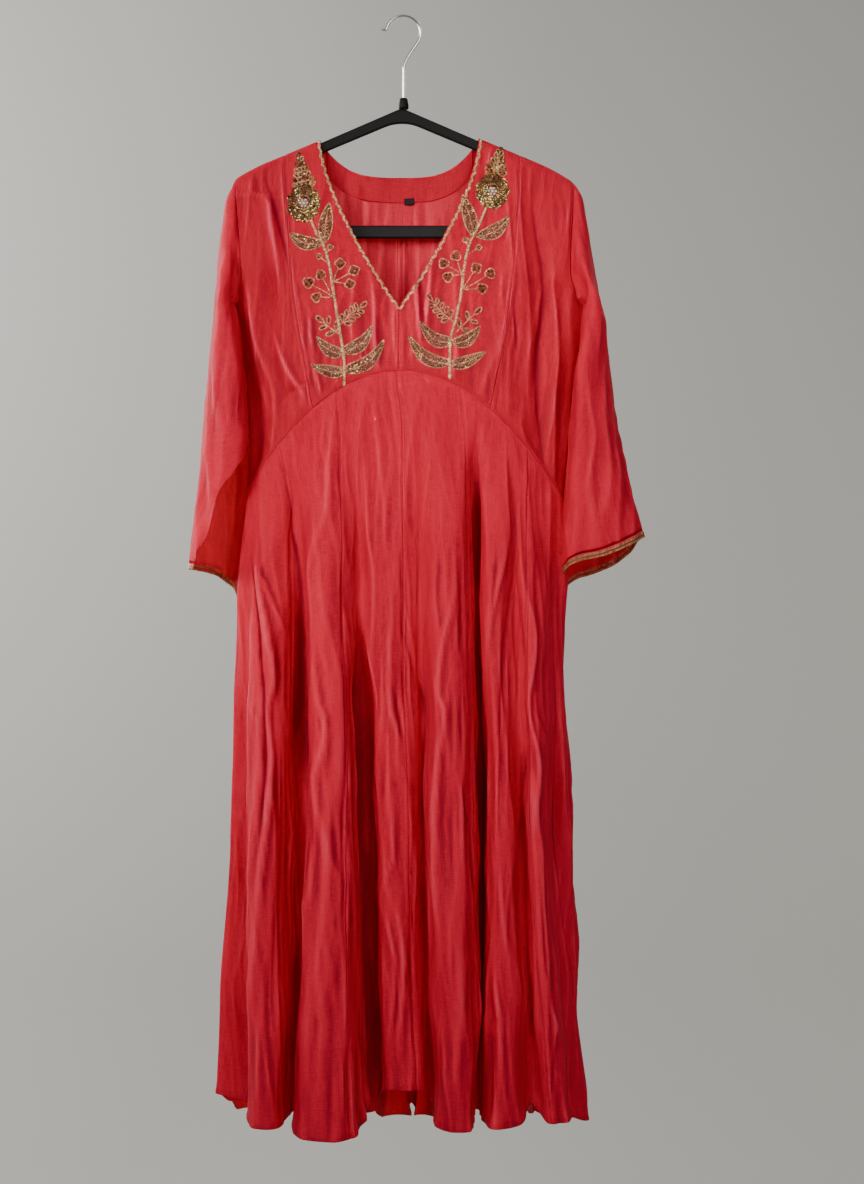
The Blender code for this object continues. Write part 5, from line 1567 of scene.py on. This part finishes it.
def makeSpray(side):
    rng = np.random.default_rng(61 if side == "left" else 62)
    work = Needlework()
    sewStem(work, stems[side])
    for number, leaf in enumerate(leaves[side], 1):
        sewLeaf(work, rng, f"leaf_{side}_{number}", 0.85 if number < 3 else 0.62, *leaf)
    for root, *fruit in berries[side]:
        for x, z in fruit:
            radius = rng.uniform(5.6, 6.5)
            way = unit(np.array((x, z), float) - root)
            end = np.array((x, z)) - way * radius
            bow = turned(way, math.pi / 2) * rng.uniform(-1.2, 1.2)
            outline(work, [root, mix(np.array(root), end, 0.5) + bow, end])
            sewBerry(work, rng, x, z, radius)
    for root, (x, z) in buds[side]:
        outline(work, [root, (x, z)])
        sewBerry(work, rng, x, z, 3.3)
    for sprig in sprigs[side]:
        sewSprig(work, *sprig)
    sewPlume(work, rng, *plumes[side])
    sewFlower(work, rng, side, *flowers[side])
    made = work.build("spray" + side.capitalize())
    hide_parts("stem_" + side)


def makeNeckCord():
    cord = {"inset": {"left": 0.9, "right": 2.3}, "scallop": 10.8, "sway": 2.3, "strand": 0.7, "pitch": 1.3,
            "stitch": (1.35, 0.75, 0.75), "tilt": 0.8, "out": 0.7}
    for side, sideName in ((-1, "left"), (1, "right")):
        work = Needlework()
        t = np.linspace(0.004, 1.016, 900)
        xs, zs = neckline(t, side)
        line = np.stack((xs, zs), -1)
        way = unit(np.gradient(line, axis=0))
        outwards = np.stack((-way[:, 1], way[:, 0]), -1)
        outwards *= np.where(outwards[:, 0] * side > 0, 1, -1)[:, None]
        sway = cord["sway"] * (1 - np.abs(np.sin(math.pi * runAlong(line) / cord["scallop"])) ** 0.8)
        for strand in (-cord["strand"], cord["strand"]):
            at = line + outwards * (cord["inset"][sideName] + sway + strand)[:, None]
            stitchAlong(work, zariThread, at[::6], cord["pitch"], cord["stitch"], cord["tilt"], cord["out"])
        made = work.build("neckCord" + sideName.capitalize())
        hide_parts("neck_trim_" + sideName)
    print("neck cord")


def makeCuffTrims():
    braid = {"rows": (0.5, 1.7, 4.3, 5.5), "pitch": 1.5, "size": (1.25, 0.55, 0.55), "tilt": 0.5, "out": 0.7}
    band = {"rows": (5.6, 3.6, 1.6, 0.2), "out": 0.52, "wall": 0.2}
    for side in ("left", "right"):
        turns, downs, grid, normals = sleeveSurfaces[side]
        fromEdge = (1 - downs[::-1]) * sleeve["long"]

        def rowAt(inset, surface):
            return np.array([[np.interp(inset, fromEdge, surface[::-1, c, k]) for k in range(3)]
                             for c in range(len(turns))])

        work = Needlework()
        for number, inset in enumerate(braid["rows"]):
            line, up = rowAt(inset, grid), rowAt(inset, normals)
            for face in (1, -1):
                points, way = smoothLine(line + unit(up) * face * braid["out"], braid["pitch"])
                steps, columnsAt = np.linspace(0, 1, len(points)), np.linspace(0, 1, len(turns))
                normal = face * unit(np.stack([np.interp(steps, columnsAt, up[:, k]) for k in range(3)], -1))
                beside = unit(np.cross(normal, way))
                tilt = braid["tilt"] * np.where(np.arange(len(points)) % 2, 1, -1)[:, None]
                along = way * np.cos(tilt) + beside * np.sin(tilt)
                ways = np.stack((along, np.cross(normal, along), normal), 1)
                work.add(zariBraid if number % 2 else zariThread, "fine", points, ways, braid["size"])
        work.build("cuffBraid" + side.capitalize())
        strip = np.array([rowAt(inset, grid + normals * band["out"]) for inset in band["rows"]])
        piece = clothPiece("cuffTrim" + side.capitalize(), strip, satinPadding, wall=band["wall"])
        settle(piece, "cuff_trim_" + side)
        declareCloth(piece, strip)
    print("cuff trims")


def makeStitching():
    # topstitches stand 3 mm from the seams; each is drawn 2.4 mm long
    thread = {"length": 2.4, "gap": 1.0, "offset": 3.0, "thick": (0.24, 0.2), "out": 0.05}
    lines = []
    for side in (-1, 1):
        share = np.linspace(0.02, 0.985, 200)
        x = princessAt(share, side)
        z = mix(shoulderAt(x), archAt(x, False), share)
        lines += [(x + shift, z) for shift in (-thread["offset"], thread["offset"])]
    x = np.linspace(-186, 194, 200)
    lines.append((x, archAt(x, False) + thread["offset"]))
    work = Needlework()
    for line in lines:
        stitchAlong(work, sewingThread, np.stack(line, -1)[::4], thread["length"] + thread["gap"],
                    (thread["length"] / 2, *thread["thick"]), 0, thread["out"], "fine")
    work.build("topstitching")
    print("stitching")


print("camera, stage and light")
makeCamera()
makeLights()
makeStage(paleFloor)
makeHanger()
makeSkirt()
makeBodice()
makeSleeves()
makeFacing()
for side in ("left", "right"):
    makeSpray(side)
print("embroidery")
makeNeckCord()
makeCuffTrims()
makeStitching()
for name, wide, long, area in cuts:
    print(f"cut {name}: {wide:.3f} x {long:.3f} m, {area:.4f} m2")
